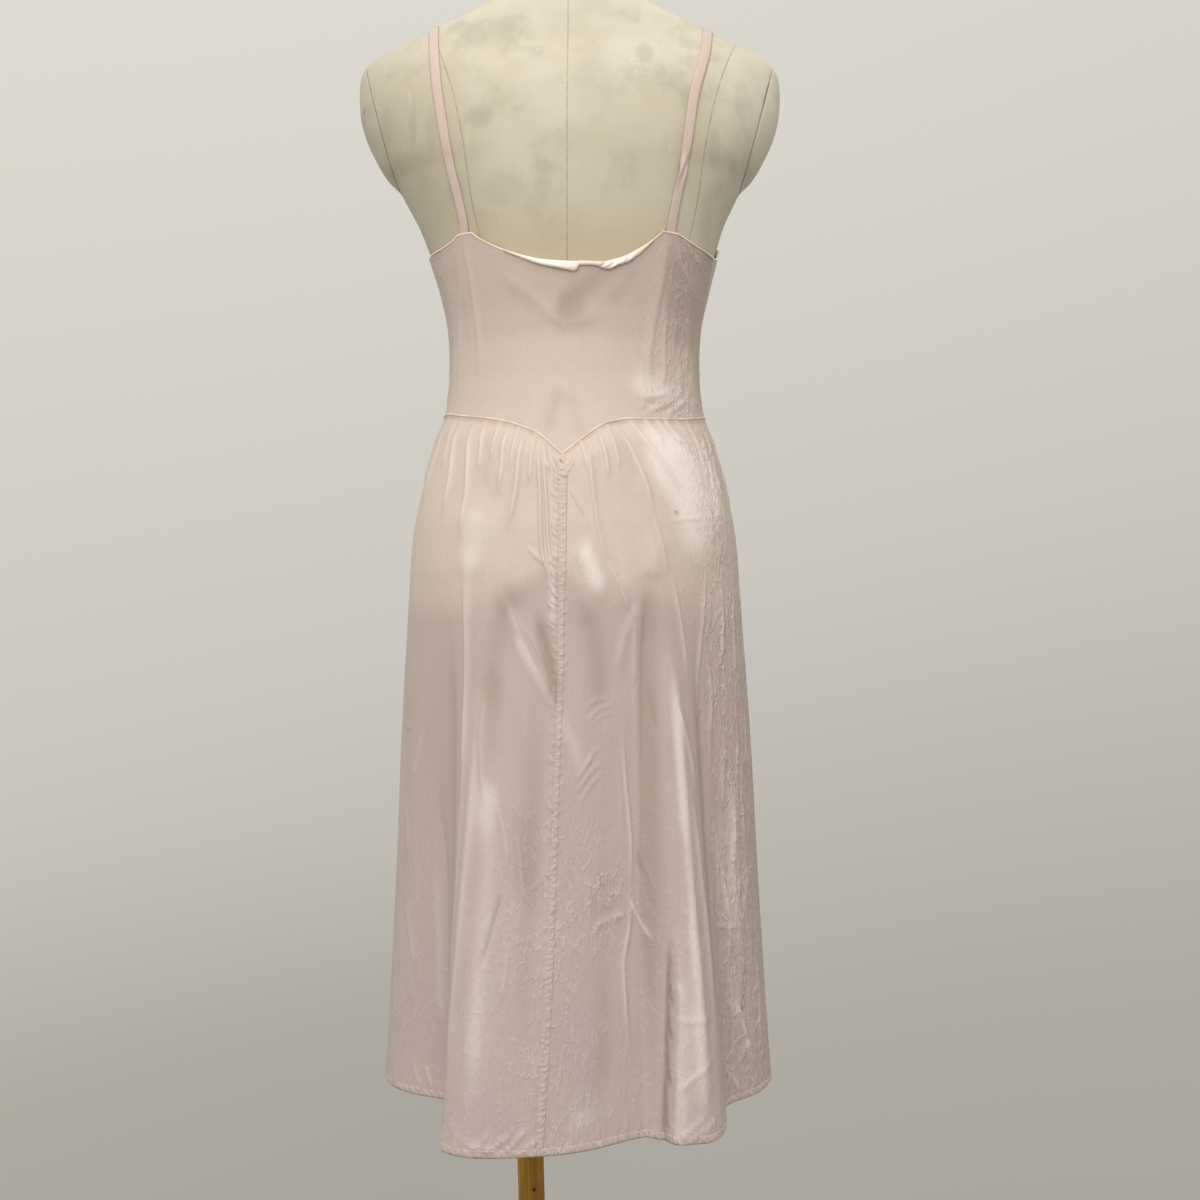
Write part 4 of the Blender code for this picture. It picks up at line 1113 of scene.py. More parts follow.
def new_panel(name, angle, height, radius, marks, wall, material, closed=False):
    """A cloth panel through a grid, with its marks kept as attributes."""
    points = on_ring(angle, height, radius).reshape(-1, 3)
    mesh = bpy.data.meshes.new(name)
    mesh.from_pydata([tuple(p) for p in points], [], grid_faces(*angle.shape, closed=closed))
    for mark in MARKS_ON_CLOTH:
        keep_mark(mesh, mark, np.broadcast_to(marks.get(mark, 0.0), angle.shape))
    mesh.shade_smooth()
    piece = new_piece(name, mesh, material)
    give_wall(piece, wall)
    area = sum(face.area for face in piece.data.polygons) / 2
    print(f"{name}: {len(piece.data.polygons)} faces, {area:.4f} square metres of cloth")
    return piece


# %% [markdown]
# The form's show-through is painted as a paler place with a soft lower border, where its
# papier-mache ends inside the skirt. The border dips and rises, because the cloth lies closer over
# each hip than beside the seam. Round the sides the show-through is weaker, which paints them
# darker as shade.

# %% Where the form shows through
BorderPoint = namedtuple("BorderPoint", "angle height soft")
FORM_BORDER = rows_of(
    BorderPoint, (-4, 770, 130), (30, 780, 90), (52, 794, 50), (63, 806, 34), (73, 828, 28),
    (82, 844, 26), (90, 834, 26), (98, 810, 24), (106, 812, 26), (116, 820, 32), (126, 808, 54),
    (140, 780, 110), (176, 770, 130), (270, 780, 90), (356, 770, 130),
)
SHOW_THROUGH = 16.0


def closeness(angle, height, radius):
    """1 where the cloth lies on the form, 0 where it hangs free, and less round the sides, which paints
    them darker as shade.
    """
    gap = radius - form_radius(angle, height)
    border = read(FORM_BORDER, "angle", "height", angle)
    soft = read(FORM_BORDER, "angle", "soft", angle)
    inside = ease_in((height - border) / soft + 0.5)
    # Round the sides the show-through is halved, which paints them darker as shade.
    side_shade_factor = 0.5 + 0.5 * np.abs(np.sin(np.radians(angle)))
    return np.exp(-np.clip(gap - EASE, 0, 200) / SHOW_THROUGH) * inside * side_shade_factor


# %% Marks on the skirt's cloth
FOLD_DEPTH = 4.0
FRONT_FOLD_DEPTH = 6.5


def crinkled(angle, height):
    """How crinkled the silk is: most on the wearer's right side, least over the hips."""
    side = wave(angle, 159, 13, 34) * ease_in((1010 - height) / 60)
    lower = ease_in((720 - height) / 260)
    beside_seam = wave(angle, 83, 9, 12) * ease_in((680 - height) / 120)
    crumpled = wave(angle, 101, 8, 8) * np.exp(-(((height - 554) / 34) ** 2))
    return np.clip(0.08 + side + 0.16 * lower + 0.25 * beside_seam + 0.6 * crumpled, 0, 1)


def silk_marks(angle, height, radius, ridge):
    """The marks that any piece of the skirt shares with the cloth beside it."""
    # The fold mark carries the broad folds and the painted patches: painted highlights above 0, painted
    # shade below. The ridge mark does the same for the creases.
    folds = creased(BACK_FOLDS, angle, height) / FOLD_DEPTH
    folds = folds + creased(FRONT_FOLDS, angle, height) / FRONT_FOLD_DEPTH
    return {
        "closeness": closeness(angle, height, radius),
        "fold": np.clip(folds + creased(PAINTED_SHINE_AND_SHADE, angle, height), -1, 1),
        "ridge": np.clip(ridge, -1, 1),
        "crinkle": crinkled(angle, height),
    }


# %% [markdown]
# The skirt is three panels: two at the back, which meet in the centre back seam, and one in
# front. A cloth simulation would hang them by itself, but then nobody chooses where the folds
# fall. Here each fold has its place, so a panel is a grid moved by the creases made above.

# %% Skirt panels
SIDE_SEAM_LEFT = -4.0
SIDE_SEAM_RIGHT = 176.0
SEAM_HALF_GAP = 0.25
ROWS_FROM = 960.0
ROWS_CLOSER_ABOVE = 1.2
STAIN_PLACE = (133.0, 893.0)
STAIN_HALF = (2.8, 1.5)
STAIN_TONE = 0.85
RIDGE_HEIGHT = 2.6
SHARP = 2.4
SHADE_UNDER_SEAM = 6.0
GATHERED_TONE = 0.34
GATHERED_DOWN = 22.0


def skirt_panel(name, start_of, end_of, columns, rows, denser, creases):
    """One skirt panel. `denser` above 0 crowds its columns to the end seam, below 0 to the start."""
    share = np.linspace(0, 1, columns)
    share = share + denser * share * (1 - share)
    down = np.linspace(0, 1, rows) ** ROWS_CLOSER_ABOVE
    middle = HEM_HEIGHT + (ROWS_FROM - HEM_HEIGHT) * (1 - down)
    start = start_of(middle)[:, None]
    end = end_of(middle)[:, None]
    angle = start + (end - start) * share[None, :]
    top = waist_height(angle)
    height = top + (HEM_HEIGHT - top) * down[:, None]
    inset = np.degrees(SEAM_HALF_GAP / skirt_radius(angle, height))
    angle = np.clip(angle, start + inset, end - inset)
    moved = creased(creases, angle, height)
    radius = moved_skirt(moved, angle, height)
    # The ridge mark paints the creases' crests as highlights and their troughs as shade, with a band of
    # painted shade just under the waist seam.
    shade = np.exp(-(((top - height) / SHADE_UNDER_SEAM - 0.5) * 2) ** 2)
    ridge = creased(creases, angle, height, SHARP) / RIDGE_HEIGHT - 0.6 * shade * (moved < 1.0)
    hem = ease_in((HEM_HEIGHT + HEM_TURNING + 0.8 - height) / 1.4)
    under_waist = ease_in((height - top + 4) / 4)
    seam_away = np.minimum(angle - start, end - angle) * skirt_radius(angle, height) * math.radians(1)
    at_seam = ease_in(1 - seam_away / 3.0)
    across, up = flat_place(angle, height)
    stain_across, stain_up = flat_place(np.array(STAIN_PLACE[0]), np.array(STAIN_PLACE[1]))
    spot = ((across - stain_across) / STAIN_HALF[0]) ** 2 + ((up - stain_up) / STAIN_HALF[1]) ** 2
    marks = silk_marks(angle, height, radius, ridge)
    gathered = GATHERED_TONE * np.exp(-np.maximum(top - height, 0) / GATHERED_DOWN)
    marks["seam"] = np.maximum(np.maximum(hem * 0.2, under_waist * 0.4), at_seam * 0.3)
    marks["seam"] = np.maximum(marks["seam"], gathered)
    marks["stain"] = np.exp(-spot ** 2) * STAIN_TONE
    return new_panel(name, angle, height, radius, marks, SILK_WALL, silk)


def level(angle):
    """A seam that runs straight down at one angle."""
    return lambda height: np.full_like(height, angle)


GATHER_STRENGTH = 1.25
back_gathers = tuple(crease._replace(rise=crease.rise * GATHER_STRENGTH) for crease in BACK_GATHERS)
left_creases = back_gathers + LEFT_BACK_CREASES + LEFT_PUCKERS + LEFT_HEM_PUCKERS + POINT_PUCKERS
right_creases = back_gathers + RIGHT_BACK_CREASES + SIDE_CREASES
right_creases += RIGHT_PUCKERS + RIGHT_HEM_PUCKERS + POINT_PUCKERS
front_creases = FRONT_CREASES + FRONT_HEM_PUCKERS
skirt_back_left = skirt_panel(
    "dress_skirt_back_left", level(SIDE_SEAM_LEFT), centre_back,
    columns=170, rows=262, denser=0.5, creases=left_creases)
skirt_back_right = skirt_panel(
    "dress_skirt_back_right", centre_back, level(SIDE_SEAM_RIGHT),
    columns=174, rows=262, denser=-0.25, creases=right_creases)
front_end = level(360 + SIDE_SEAM_LEFT)
skirt_front = skirt_panel(
    "dress_skirt_front", level(SIDE_SEAM_RIGHT), front_end,
    columns=230, rows=170, denser=0, creases=front_creases)

# %% [markdown]
# The bodice lies close on the form. Its back has a shallow cowl fold under the low neck, ridges
# that run down from each strap, and a crumpled place beside the waist on the wearer's right.

# %% Creases of the bodice
BODICE_BACK_CREASES = creases_of(
    (((38.6, 1160), (36.8, 1118), (35.2, 1070), (35.4, 1010)), 2.4, 1.8, 2.6),
    (((34.6, 1150), (28.6, 1108), (22.5, 1074), (20.4, 1020)), 1.9, 2.0, 3.0),
    (((30, 1140), (22, 1095), (16, 1050)), -1.0, 9),
    (((138.2, 1160), (137.6, 1121), (137.6, 1095), (136, 1050), (133, 1010)), 2.0, 2.6, 7),
    (((140.6, 1160), (145.5, 1131), (151.2, 1119), (158.5, 1096)), 1.5, 2.0, 2.6),
    (((143.4, 1158), (150.4, 1142), (160.2, 1130)), 1.2, 1.8, 2.2),
    (((140.6, 1110), (144, 1069), (143.4, 1030), (141, 1010)), 1.5, 2.0, 3.0),
    (((145.4, 1116), (149.9, 1070), (148.6, 1036)), 1.3, 2.0, 2.4),
    (((154.3, 1108), (158.6, 1064), (156.6, 1024)), 1.2, 2.4),
    (((164, 1110), (166, 1064), (164, 1016)), 1.1, 2.4),
    (((46, 1126), (60.5, 1101), (70.7, 1088), (78, 1079)), 0.9, 6, 8),
    (((70, 1088), (78, 1077), (87, 1072), (98, 1075), (109, 1086)), 1.6, 22, 7),
    (((84.9, 1016), (84.4, 992), (83.6, 966)), 0.7, 12),
    (((127, 986), (130.5, 992), (133.2, 996)), -1.0, 1.3, 1.5),
    (((129.8, 984), (134, 992), (137.2, 993.6)), 1.2, 1.4, 1.6),
    (((128.4, 994), (132.4, 998), (134.4, 996), (137.6, 1003)), -1.3, 1.3, 1.4),
    (((132, 987), (138.2, 995), (143.6, 1002)), 1.3, 1.5, 1.8),
    (((136.6, 986), (143.6, 995), (149, 1002), (154, 1011)), -1.9, 1.2, 1.8),
    (((138.6, 985), (145.4, 993), (151, 1000), (156.4, 1008)), 1.6, 1.6, 3.0),
    (((129.6, 1002), (133.6, 1004), (136.8, 1001)), 1.2, 1.4),
    (((133, 1010), (137.4, 1005), (142, 1008), (146, 1015)), 1.1, 1.5, 1.8),
    (((149.2, 999), (152.1, 1013), (152.6, 1030)), 1.1, 1.5),
    (((155, 1004), (159, 1017), (161, 1034)), 1.2, 1.6),
    (((138.2, 1034), (137.8, 1024), (137.2, 1012)), -1.2, 1.2),
    (((135.4, 1044), (135, 1028), (134.4, 1012)), 1.0, 1.3),
    (((131.6, 1040), (131, 1026), (129.4, 1014)), 0.9, 1.4),
    (((142.4, 1040), (142.2, 1028), (140.8, 1018)), 0.9, 1.3),
    (((5, 1004), (14.3, 1027), (19.6, 1058)), 1.3, 2.2),
    (((10, 1000), (20, 1018), (26, 1042)), 1.0, 2),
    (((12, 1146), (18, 1120), (20, 1100)), 1.0, 1.8),
)
BODICE_FRONT_CREASES = creases_of(
    (((235, 1196), (236, 1160), (230, 1110)), 1.6, 3),
    (((305, 1196), (304, 1160), (311, 1110)), 1.6, 3),
    (((243, 1110), (250, 1060), (246, 1015)), 1.8, 3),
    (((297, 1108), (291, 1062), (295, 1015)), 1.8, 3),
    (((190, 1060), (198, 1035), (209, 1022)), 1.5, 2.4),
    (((350, 1064), (342, 1036), (330, 1020)), 1.5, 2.4),
    (((252, 1150), (262, 1128), (272, 1122), (284, 1132), (292, 1152)), 2.4, 9, 4),
    (((262, 1060), (267, 1040), (265, 1015)), 1.2, 2.4),
    (((186, 1146), (200, 1132), (214, 1126)), 1.5, 2.6),
    (((354, 1146), (340, 1132), (327, 1127)), 1.5, 2.6),
)

BODICE_FOLDS = creases_of(
    (((22, 1180), (16, 1090), (10, 980)), -0.9, 16),
    (((143, 1190), (149, 1090), (151, 960)), -1.3, 16, 22),
    (((160, 1190), (168, 1090), (169, 960)), -1.3, 14),
    (((110, 1116), (97, 1100), (88, 1088), (80, 1076)), -0.8, 14),
)

# %% Painted highlights and shade of the bodice
BODICE_PAINTED_SHINE_AND_SHADE = creases_of(
    (((116, 1122), (105, 1112), (94.4, 1099), (86, 1087), (77, 1074)), -0.5, 15, 13),
    (((76, 1090), (84, 1082), (92, 1082), (102, 1090)), -0.5, 14, 11),
    (((44, 1130), (60.5, 1101), (72, 1086)), -0.3, 8),
    (((128, 1130), (118, 1102), (108, 1082)), -0.35, 9),
    (((50, 1140), (70, 1112), (84, 1106)), 0.25, 12),
    (((84, 1020), (79.6, 992), (74, 958)), -0.45, 12, 11),
    (((88, 1014), (92, 986), (96, 954)), -0.3, 10, 11),
    (((85, 996), (84.6, 972), (84.2, 946)), 0.25, 7),
    (((140, 1170), (149, 1110), (156, 1075), (158, 1045)), -0.75, 20),
    (((160, 1180), (168, 1100), (170, 960)), -0.8, 16, 24),
    (((157, 1020), (161, 1004), (164, 980)), -0.35, 14),
    (((116, 1010), (132, 1012), (150, 1006), (166, 1000)), 0.65, 26, 13),
    (((13, 1180), (9, 1090), (5, 990)), -0.45, 14, 18),
    (((30, 1150), (29, 1100), (28, 1030)), -0.25, 5),
    (((60, 1070), (58, 1030), (56, 1000)), 0.2, 24),
)

# %% Columns through the corners of an edge
def columns_through(corners, step):
    """Angles that pass through every corner, with even steps between them."""
    angles = [corners[0]]
    for start, end in zip(corners, corners[1:]):
        steps = max(2, round((end - start) / step))
        angles.extend(np.linspace(start, end, steps + 1)[1:])
    return np.array(angles)


def corners_of(pieces):
    corners = []
    for piece in pieces:
        corners.extend((piece[0].angle, piece[-1].angle))
    return sorted(set(corners))


# %% Bodice panels
BODICE_STEP = 1.2
USUAL_RADIUS = 130.0


def creased_bodice(creases, angle, height):
    """The bodice with its creases, which die away at the waist seam."""
    foot = waist_height(angle)
    moved = creased(creases + BODICE_FOLDS, angle, height) * ease_in((height - foot) / 8)
    radius = bodice_radius(angle, height) + moved
    return np.maximum(radius, form_radius(angle, height) + CANVAS_CLEAR)


def crinkled_bodice(angle, height):
    crumpled = wave(angle, 143, 11, 12) * np.exp(-(((height - 998) / 18) ** 2))
    sides = 0.55 * wave(angle, 152, 15, 20) + 0.25 * wave(angle, 10, 12, 12)
    return np.clip(0.04 + sides + 0.4 * crumpled, 0, 1)


def bodice_panel(name, edge_of, pieces, rows, creases):
    columns = columns_through(corners_of(pieces), BODICE_STEP)
    down = np.linspace(0, 1, rows)[:, None]
    angle = np.broadcast_to(columns, (rows, len(columns)))
    top = edge_of(angle)
    height = top + (waist_height(angle) - top) * down
    inset = math.degrees(SEAM_HALF_GAP / USUAL_RADIUS)
    angle = np.clip(angle, columns[0] + inset, columns[-1] - inset)
    radius = creased_bodice(creases, angle, height)
    edge = ease_in((height - top + 5.5) / 1.5)
    # The fold mark paints the broad troughs darker as shade and adds the painted highlights and shade;
    # the ridge mark tones the creases the same way.
    folds = creased(BODICE_FOLDS, angle, height) / FOLD_DEPTH
    marks = {
        "closeness": 0.3 + 0.28 * closeness(angle, height, radius),
        "fold": np.clip(folds + creased(BODICE_PAINTED_SHINE_AND_SHADE, angle, height), -1, 1),
        "ridge": np.clip(creased(creases, angle, height, SHARP) / RIDGE_HEIGHT, -1, 1) * 0.8,
        "seam": edge * 0.55,
        "crinkle": crinkled_bodice(angle, height),
    }
    return new_panel(name, angle, height, radius, marks, SILK_WALL, silk)


bodice_back = bodice_panel("dress_bodice_back", back_edge, BACK_EDGES, 120, BODICE_BACK_CREASES)
bodice_front = bodice_panel("dress_bodice_front", front_edge, FRONT_EDGES, 90, BODICE_FRONT_CREASES)

# %% [markdown]
# The form is papier-mache covered with canvas: a smooth torso, and two rounded caps where arms
# would be, set on with a seam. The whole body is lofted finely from its table. A flat cut then
# parts each cap above the armhole, and both open sides are filled, so all three are closed.

# %% Dress form meshes
FORM_COLUMNS = 160
FORM_STEP = 4.5
CAP_SEAM_TOP = (200.0, 1339.0)
CAP_SEAM_FOOT = (169.0, 1220.0)
CAP_LOWEST = 1196.0
CAP_GAP = 0.5


def form_body():
    """The whole form as one closed loft."""
    first = FORM_SECTIONS[0].height
    last = FORM_SECTIONS[-1].height
    levels = np.linspace(first, last, round((last - first) / FORM_STEP) + 1)
    angle, height = np.meshgrid(np.arange(FORM_COLUMNS) * 360 / FORM_COLUMNS, levels)
    points = on_ring(angle, height, form_radius(angle, height)).reshape(-1, 3)
    faces = [tuple(reversed(face)) for face in grid_faces(*angle.shape, closed=True)]
    top = len(points) - FORM_COLUMNS
    faces.append(tuple(range(FORM_COLUMNS - 1, -1, -1)))
    faces.append(tuple(range(top, top + FORM_COLUMNS)))
    mesh = bpy.data.meshes.new("form")
    mesh.from_pydata([tuple(p) for p in points], [], faces)
    return mesh


def part_form(side, keep_cap, shape):
    """Cut the form at one cap's seam and keep the cap or the rest."""
    top = Vector((side * CAP_SEAM_TOP[0] + SWAY, 0, CAP_SEAM_TOP[1])) * MM
    foot = Vector((side * CAP_SEAM_FOOT[0] + SWAY, 0, CAP_SEAM_FOOT[1])) * MM
    along = (top - foot).normalized()
    outward = Vector((along.z, 0, -along.x)) * side
    start = foot + outward * (CAP_GAP * MM if keep_cap else 0)
    upper = [face for face in shape.faces if face.calc_center_median().z > CAP_LOWEST * MM
             and face.calc_center_median().x * side > 0]
    geometry = upper + list({edge for face in upper for edge in face.edges})
    geometry += list({vertex for face in upper for vertex in face.verts})
    bmesh.ops.bisect_plane(shape, geom=geometry, plane_co=start, plane_no=outward, dist=1e-7)
    outside = [face for face in shape.faces
               if (face.calc_center_median() - start).dot(outward) > 1e-6
               and face.calc_center_median().z > CAP_LOWEST * MM]
    unwanted = set(shape.faces) - set(outside) if keep_cap else set(outside)
    bmesh.ops.delete(shape, geom=list(unwanted), context="FACES")
    rim = [edge for edge in shape.edges if edge.is_boundary]
    bmesh.ops.contextual_create(shape, geom=rim)


def form_piece(name, cuts, material):
    """One piece of the form. `cuts` are pairs of a side and whether its cap is kept."""
    shape = bmesh.new()
    body = form_body()
    shape.from_mesh(body)
    bpy.data.meshes.remove(body)
    for side, keep_cap in cuts:
        part_form(side, keep_cap, shape)
    bmesh.ops.recalc_face_normals(shape, faces=shape.faces)
    mesh = bpy.data.meshes.new(name)
    shape.to_mesh(mesh)
    open_edges = sum(edge.is_boundary for edge in shape.edges)
    shape.free()
    mesh.shade_smooth()
    piece = new_piece(name, mesh, material)
    bevel = piece.modifiers.new("soft rim", "BEVEL")
    bevel.width = 1.4 * MM
    bevel.segments = 2
    bevel.limit_method = "ANGLE"
    bevel.angle_limit = math.radians(45)
    make_plain(piece)
    print(f"{name}: {len(mesh.polygons)} faces, open edges: {open_edges}")
    return piece


# %% [markdown]
# Old canvas is never one colour. It is paler where it was rubbed, greyer where hands and dust
# met it, darker towards the bottom and warmer under the neckline. The wearer's left side is
# painted darker as painted shade, and the right side paler as painted light. The sewn seams are
# thin dark lines: one down the centre back and a curved one on each side of it. A float curve
# holds each line's distance from the middle for every height, so a seam is simply the places that
# lie close to it. The one on the wearer's right sits farther out, and that shoulder's seam has
# torn a little.

# %% Canvas material
CANVAS_TAN = (0.60, 0.54, 0.42, 1)
CANVAS_PALE = (0.70, 0.655, 0.555, 1)
CANVAS_GREY = (0.42, 0.395, 0.315, 1)
CANVAS_RUBBED = (0.74, 0.7, 0.6, 1)
CANVAS_LOW = (0.44, 0.395, 0.30, 1)
CANVAS_WARM = (0.60, 0.49, 0.32, 1)
CANVAS_SHADED = (0.42, 0.385, 0.31, 1)
CANVAS_LIT = (0.83, 0.79, 0.72, 1)
SEAM_LINE = (0.30, 0.27, 0.2, 1)
SPECK = (0.33, 0.30, 0.24, 1)
SMUDGED = (0.40, 0.385, 0.33, 1)
RUSTY = (0.30, 0.15, 0.07, 1)
TORN = (0.12, 0.105, 0.085, 1)
CANVAS_PITCH = 0.0011
CURVE_FOOT = 1.10
CURVE_SPAN = 0.40
CURVE_REACH = 0.25
SeamPoint = namedtuple("SeamPoint", "height across")
PRINCESS_SEAM = rows_of(
    SeamPoint, (1100, 66), (1178, 88), (1239, 97), (1289, 108), (1339, 125), (1375, 140),
    (1500, 150),
)
Smudge = namedtuple("Smudge", "across height wide tall tone lean", defaults=(0,))
SMUDGES = rows_of(
    Smudge, (85, 1259, 17, 13, 0.55), (-67, 1322, 11, 16, 0.45), (132, 1250, 7, 26, 0.4),
    (150, 1262, 5, 34, 0.4), (-133, 1235, 9, 24, 0.35), (-20, 1290, 26, 40, 0.18),
    (60, 1190, 30, 20, 0.25), (178, 1265, 9, 18, 0.35), (-168, 1240, 8, 26, 0.35),
    (110, 1195, 12, 16, 0.35),
)
RUST = Smudge(204, 1288, 2.6, 3.4, 0.9)
TORN_SEAM = Smudge(-185.3, 1300, 1.5, 22, 0.85, 0.26)
MARKS = [(smudge, SMUDGED) for smudge in SMUDGES] + [(RUST, RUSTY), (TORN_SEAM, TORN)]
RIGHT_SEAM_OUT = 0.032


def canvas_recipe(recipe):
    place = recipe.place()
    across, back, up = recipe.parts(place)
    broad = recipe.noise(place, 5.0, 4.0, 0.6)
    patches = recipe.noise(place, 22.0, 5.0, 0.62)
    scuffs = recipe.noise(recipe.stretched(place, (1, 1, 0.3)), 90.0, 4.0, 0.7)
    colour = recipe.blend(broad.between(0.38, 0.62), CANVAS_TAN, CANVAS_PALE)
    colour = recipe.blend(patches.between(0.5, 0.72) * 0.5, colour, CANVAS_GREY)
    colour = recipe.blend(scuffs.between(0.62, 0.7) * 0.55, colour, CANVAS_RUBBED)
    # Darker towards the bottom.
    colour = recipe.blend((1.32 - up).between(0.0, 0.14) * 0.34, colour, CANVAS_LOW)
    neckline = (1.205 - up).between(0.0, 0.075) * (0.13 - abs(across)).between(0.0, 0.05)
    colour = recipe.blend(neckline * 0.62, colour, CANVAS_WARM)
    for smudge, dark in MARKS:
        leant = (up - smudge.height * MM) * smudge.lean
        side = (across + leant - smudge.across * MM) / (smudge.wide * MM)
        rise = (up - smudge.height * MM) / (smudge.tall * MM)
        ragged = side * side + rise * rise + (patches - 0.5) * 2.2
        share = (1.0 - ragged).between(0.0, 0.9) * smudge.tone
        colour = recipe.blend(share * back.between(-0.005, 0.005), colour, dark)
    # The wearer's left side is painted darker as shade and the right side paler as painted light.
    colour = recipe.blend(across.between(0.06, 0.2) * 0.3, colour, CANVAS_SHADED)
    colour = recipe.blend((-across).between(0.13, 0.2) * 0.36, colour, CANVAS_LIT)
    line = [((p.height * MM - CURVE_FOOT) / CURVE_SPAN, p.across * MM / CURVE_REACH)
            for p in PRINCESS_SEAM]
    level = (up - CURVE_FOOT) / CURVE_SPAN
    princess = recipe.add("ShaderNodeFloatCurve", {"curve": line}, {"Value": level}) * CURVE_REACH
    princess = princess + (-across).between(0.0, 0.001) * RIGHT_SEAM_OUT
    centred = abs(across - SWAY * MM)
    from_princess = abs(centred - princess)
    seam = 1.0 - from_princess.smallest(centred + 0.0001).between(0.0002, 0.0011)
    broken = recipe.noise(place, 130.0, 3.0).between(0.36, 0.6)
    colour = recipe.blend(seam * (broken * 0.35 + 0.3), colour, SEAM_LINE)
    specks = recipe.noise(place, 330.0, 2.0).between(0.72, 0.76)
    colour = recipe.blend(specks * 0.5, colour, SPECK)
    rough = 0.72 + patches * 0.2
    height = weave(recipe, place, CANVAS_PITCH) * 0.1 + patches * 0.5 + scuffs * 0.25 - seam * 0.7
    return colour, rough, height, 0.35


canvas = finished("worn canvas", canvas_recipe, 0.85)
print("material:", canvas.name, "with", len(MARKS), "marks")

# %% Torso and shoulder caps
form_torso = form_piece("form_torso_canvas", ((1, False), (-1, False)), canvas)
form_cap_left = form_piece("form_cap_left_canvas", ((1, True),), canvas)
form_cap_right = form_piece("form_cap_right_canvas", ((-1, True),), canvas)

# %% [markdown]
# A strap is a narrow ribbon that lies on the shoulder from its back peak to its front peak. The
# form is probed from inside the shoulder for every turn from back to front, and the ribbon is
# laid just over the canvas. On the wearer's right it has a half twist where it was sewn on.

# %% Finding the top of the shoulder
# A strap's way over the shoulder: `turn` goes from the back (0) over the top (90) to the front.
StrapPoint = namedtuple("StrapPoint", "turn across")
SHOULDER_CENTRE = (10.0, 1250.0)
STRAP_LEFT = rows_of(
    StrapPoint, (-52, 101), (-25, 113), (4, 120.5), (61, 132), (90, 136), (125, 124), (165, 97),
    (200, 79.5),
)
STRAP_RIGHT = rows_of(
    StrapPoint, (-52, 91.5), (-37, 98), (-12, 105.5), (22, 112.5), (61, 126.5), (90, 131),
    (125, 121), (165, 94), (200, 72.5),
)


def probe_form():
    surface = bmesh.new()
    body = form_body()
    surface.from_mesh(body)
    bmesh.ops.triangulate(surface, faces=surface.faces)
    tree = BVHTree.FromBMesh(surface)
    surface.free()
    bpy.data.meshes.remove(body)
    return tree


FORM_TREE = probe_form()


def on_shoulder(turn, across):
    """Point and outward direction on the form, seen from inside the shoulder."""
    centre = Vector((across, SHOULDER_CENTRE[0], SHOULDER_CENTRE[1])) * MM
    towards = Vector((0, math.cos(math.radians(turn)), math.sin(math.radians(turn))))
    point, normal, _, _ = FORM_TREE.ray_cast(centre, towards)
    return point, normal if normal.dot(towards) > 0 else -normal


def turn_at_height(rows, side, start, end, height):
    """The turn at which a strap reaches a height, found by halving."""
    for _ in range(40):
        middle = (start + end) / 2
        point, _ = on_shoulder(middle, side * float(read(rows, "turn", "across", middle)))
        if point.z < height * MM:
            start = middle
        else:
            end = middle
    return (start + end) / 2


# %% Straps
BACK_TOP = BACK_PEAK_HEIGHT - 4.0
FRONT_TOP = FRONT_PEAK_HEIGHT - 4.0
STRAP_WIDTH = 9.6
STRAP_THICK = 0.7
STRAP_STEPS = 150
STRAP_LANES = 7
STRAP_LIFT = 1.4
STRAP_CLOSENESS = 0.55
TWIST_AT = 0.115
TWIST_SPREAD = 0.03
TWIST_HIGH = 1.6
TWIST_NARROWS = 0.22
STRAP_CROWN = 0.25


def make_strap(name, rows, side, twist, material):
    first = turn_at_height(rows, side, -60, 30, BACK_TOP)
    last = turn_at_height(rows, side, 215, 120, FRONT_TOP)
    lanes = np.linspace(-0.5, 0.5, STRAP_LANES)
    points = []
    for number in range(STRAP_STEPS + 1):
        share = number / STRAP_STEPS
        turn = first + (last - first) * share
        point, normal = on_shoulder(turn, side * float(read(rows, "turn", "across", turn)))
        sideways = (Vector((1, 0, 0)) - normal * normal.x).normalized()
        middle = point + normal * STRAP_LIFT * MM
        crumple = twist * math.exp(-((share - TWIST_AT) / TWIST_SPREAD) ** 2)
        narrow = 1 - TWIST_NARROWS * crumple
        for lane in lanes:
            wavy = math.sin(lane * 7 + (share - TWIST_AT) / TWIST_SPREAD * 2)
            fold = crumple * (TWIST_HIGH * wavy + TWIST_HIGH)
            crown = STRAP_CROWN * (1 - (2 * lane) ** 2)
            beside = sideways * (lane * STRAP_WIDTH * narrow * MM)
            points.append(middle + beside + normal * (fold + crown) * MM)
    mesh = bpy.data.meshes.new(name)
    mesh.from_pydata([tuple(p) for p in points], [], grid_faces(STRAP_STEPS + 1, STRAP_LANES))
    keep_mark(mesh, "seam", np.tile(0.35 + 0.5 * (np.abs(lanes) > 0.4), STRAP_STEPS + 1))
    keep_mark(mesh, "closeness", np.full(len(points), STRAP_CLOSENESS))
    shape = bmesh.new()
    shape.from_mesh(mesh)
    if sum(face.normal.z for face in shape.faces) < 0:
        bmesh.ops.reverse_faces(shape, faces=shape.faces)
    shape.to_mesh(mesh)
    shape.free()
    piece = new_piece(name, mesh, material)
    give_wall(piece, STRAP_THICK * MM)
    print(f"{name}: {len(piece.data.polygons)} faces")
    return piece


strap_left = make_strap("dress_strap_left", STRAP_LEFT, 1, 0.0, silk)
strap_right = make_strap("dress_strap_right", STRAP_RIGHT, -1, 1.0, silk)

# %% [markdown]
# The narrow pieces of sewing come next: the rolled edge round the neck and armholes, the waist
# seam, the felled centre back seam, the rolled-out facing and the turned hem. Each follows the
# panels' own surface, lifted by its thickness, so that it sits on the cloth from every side.

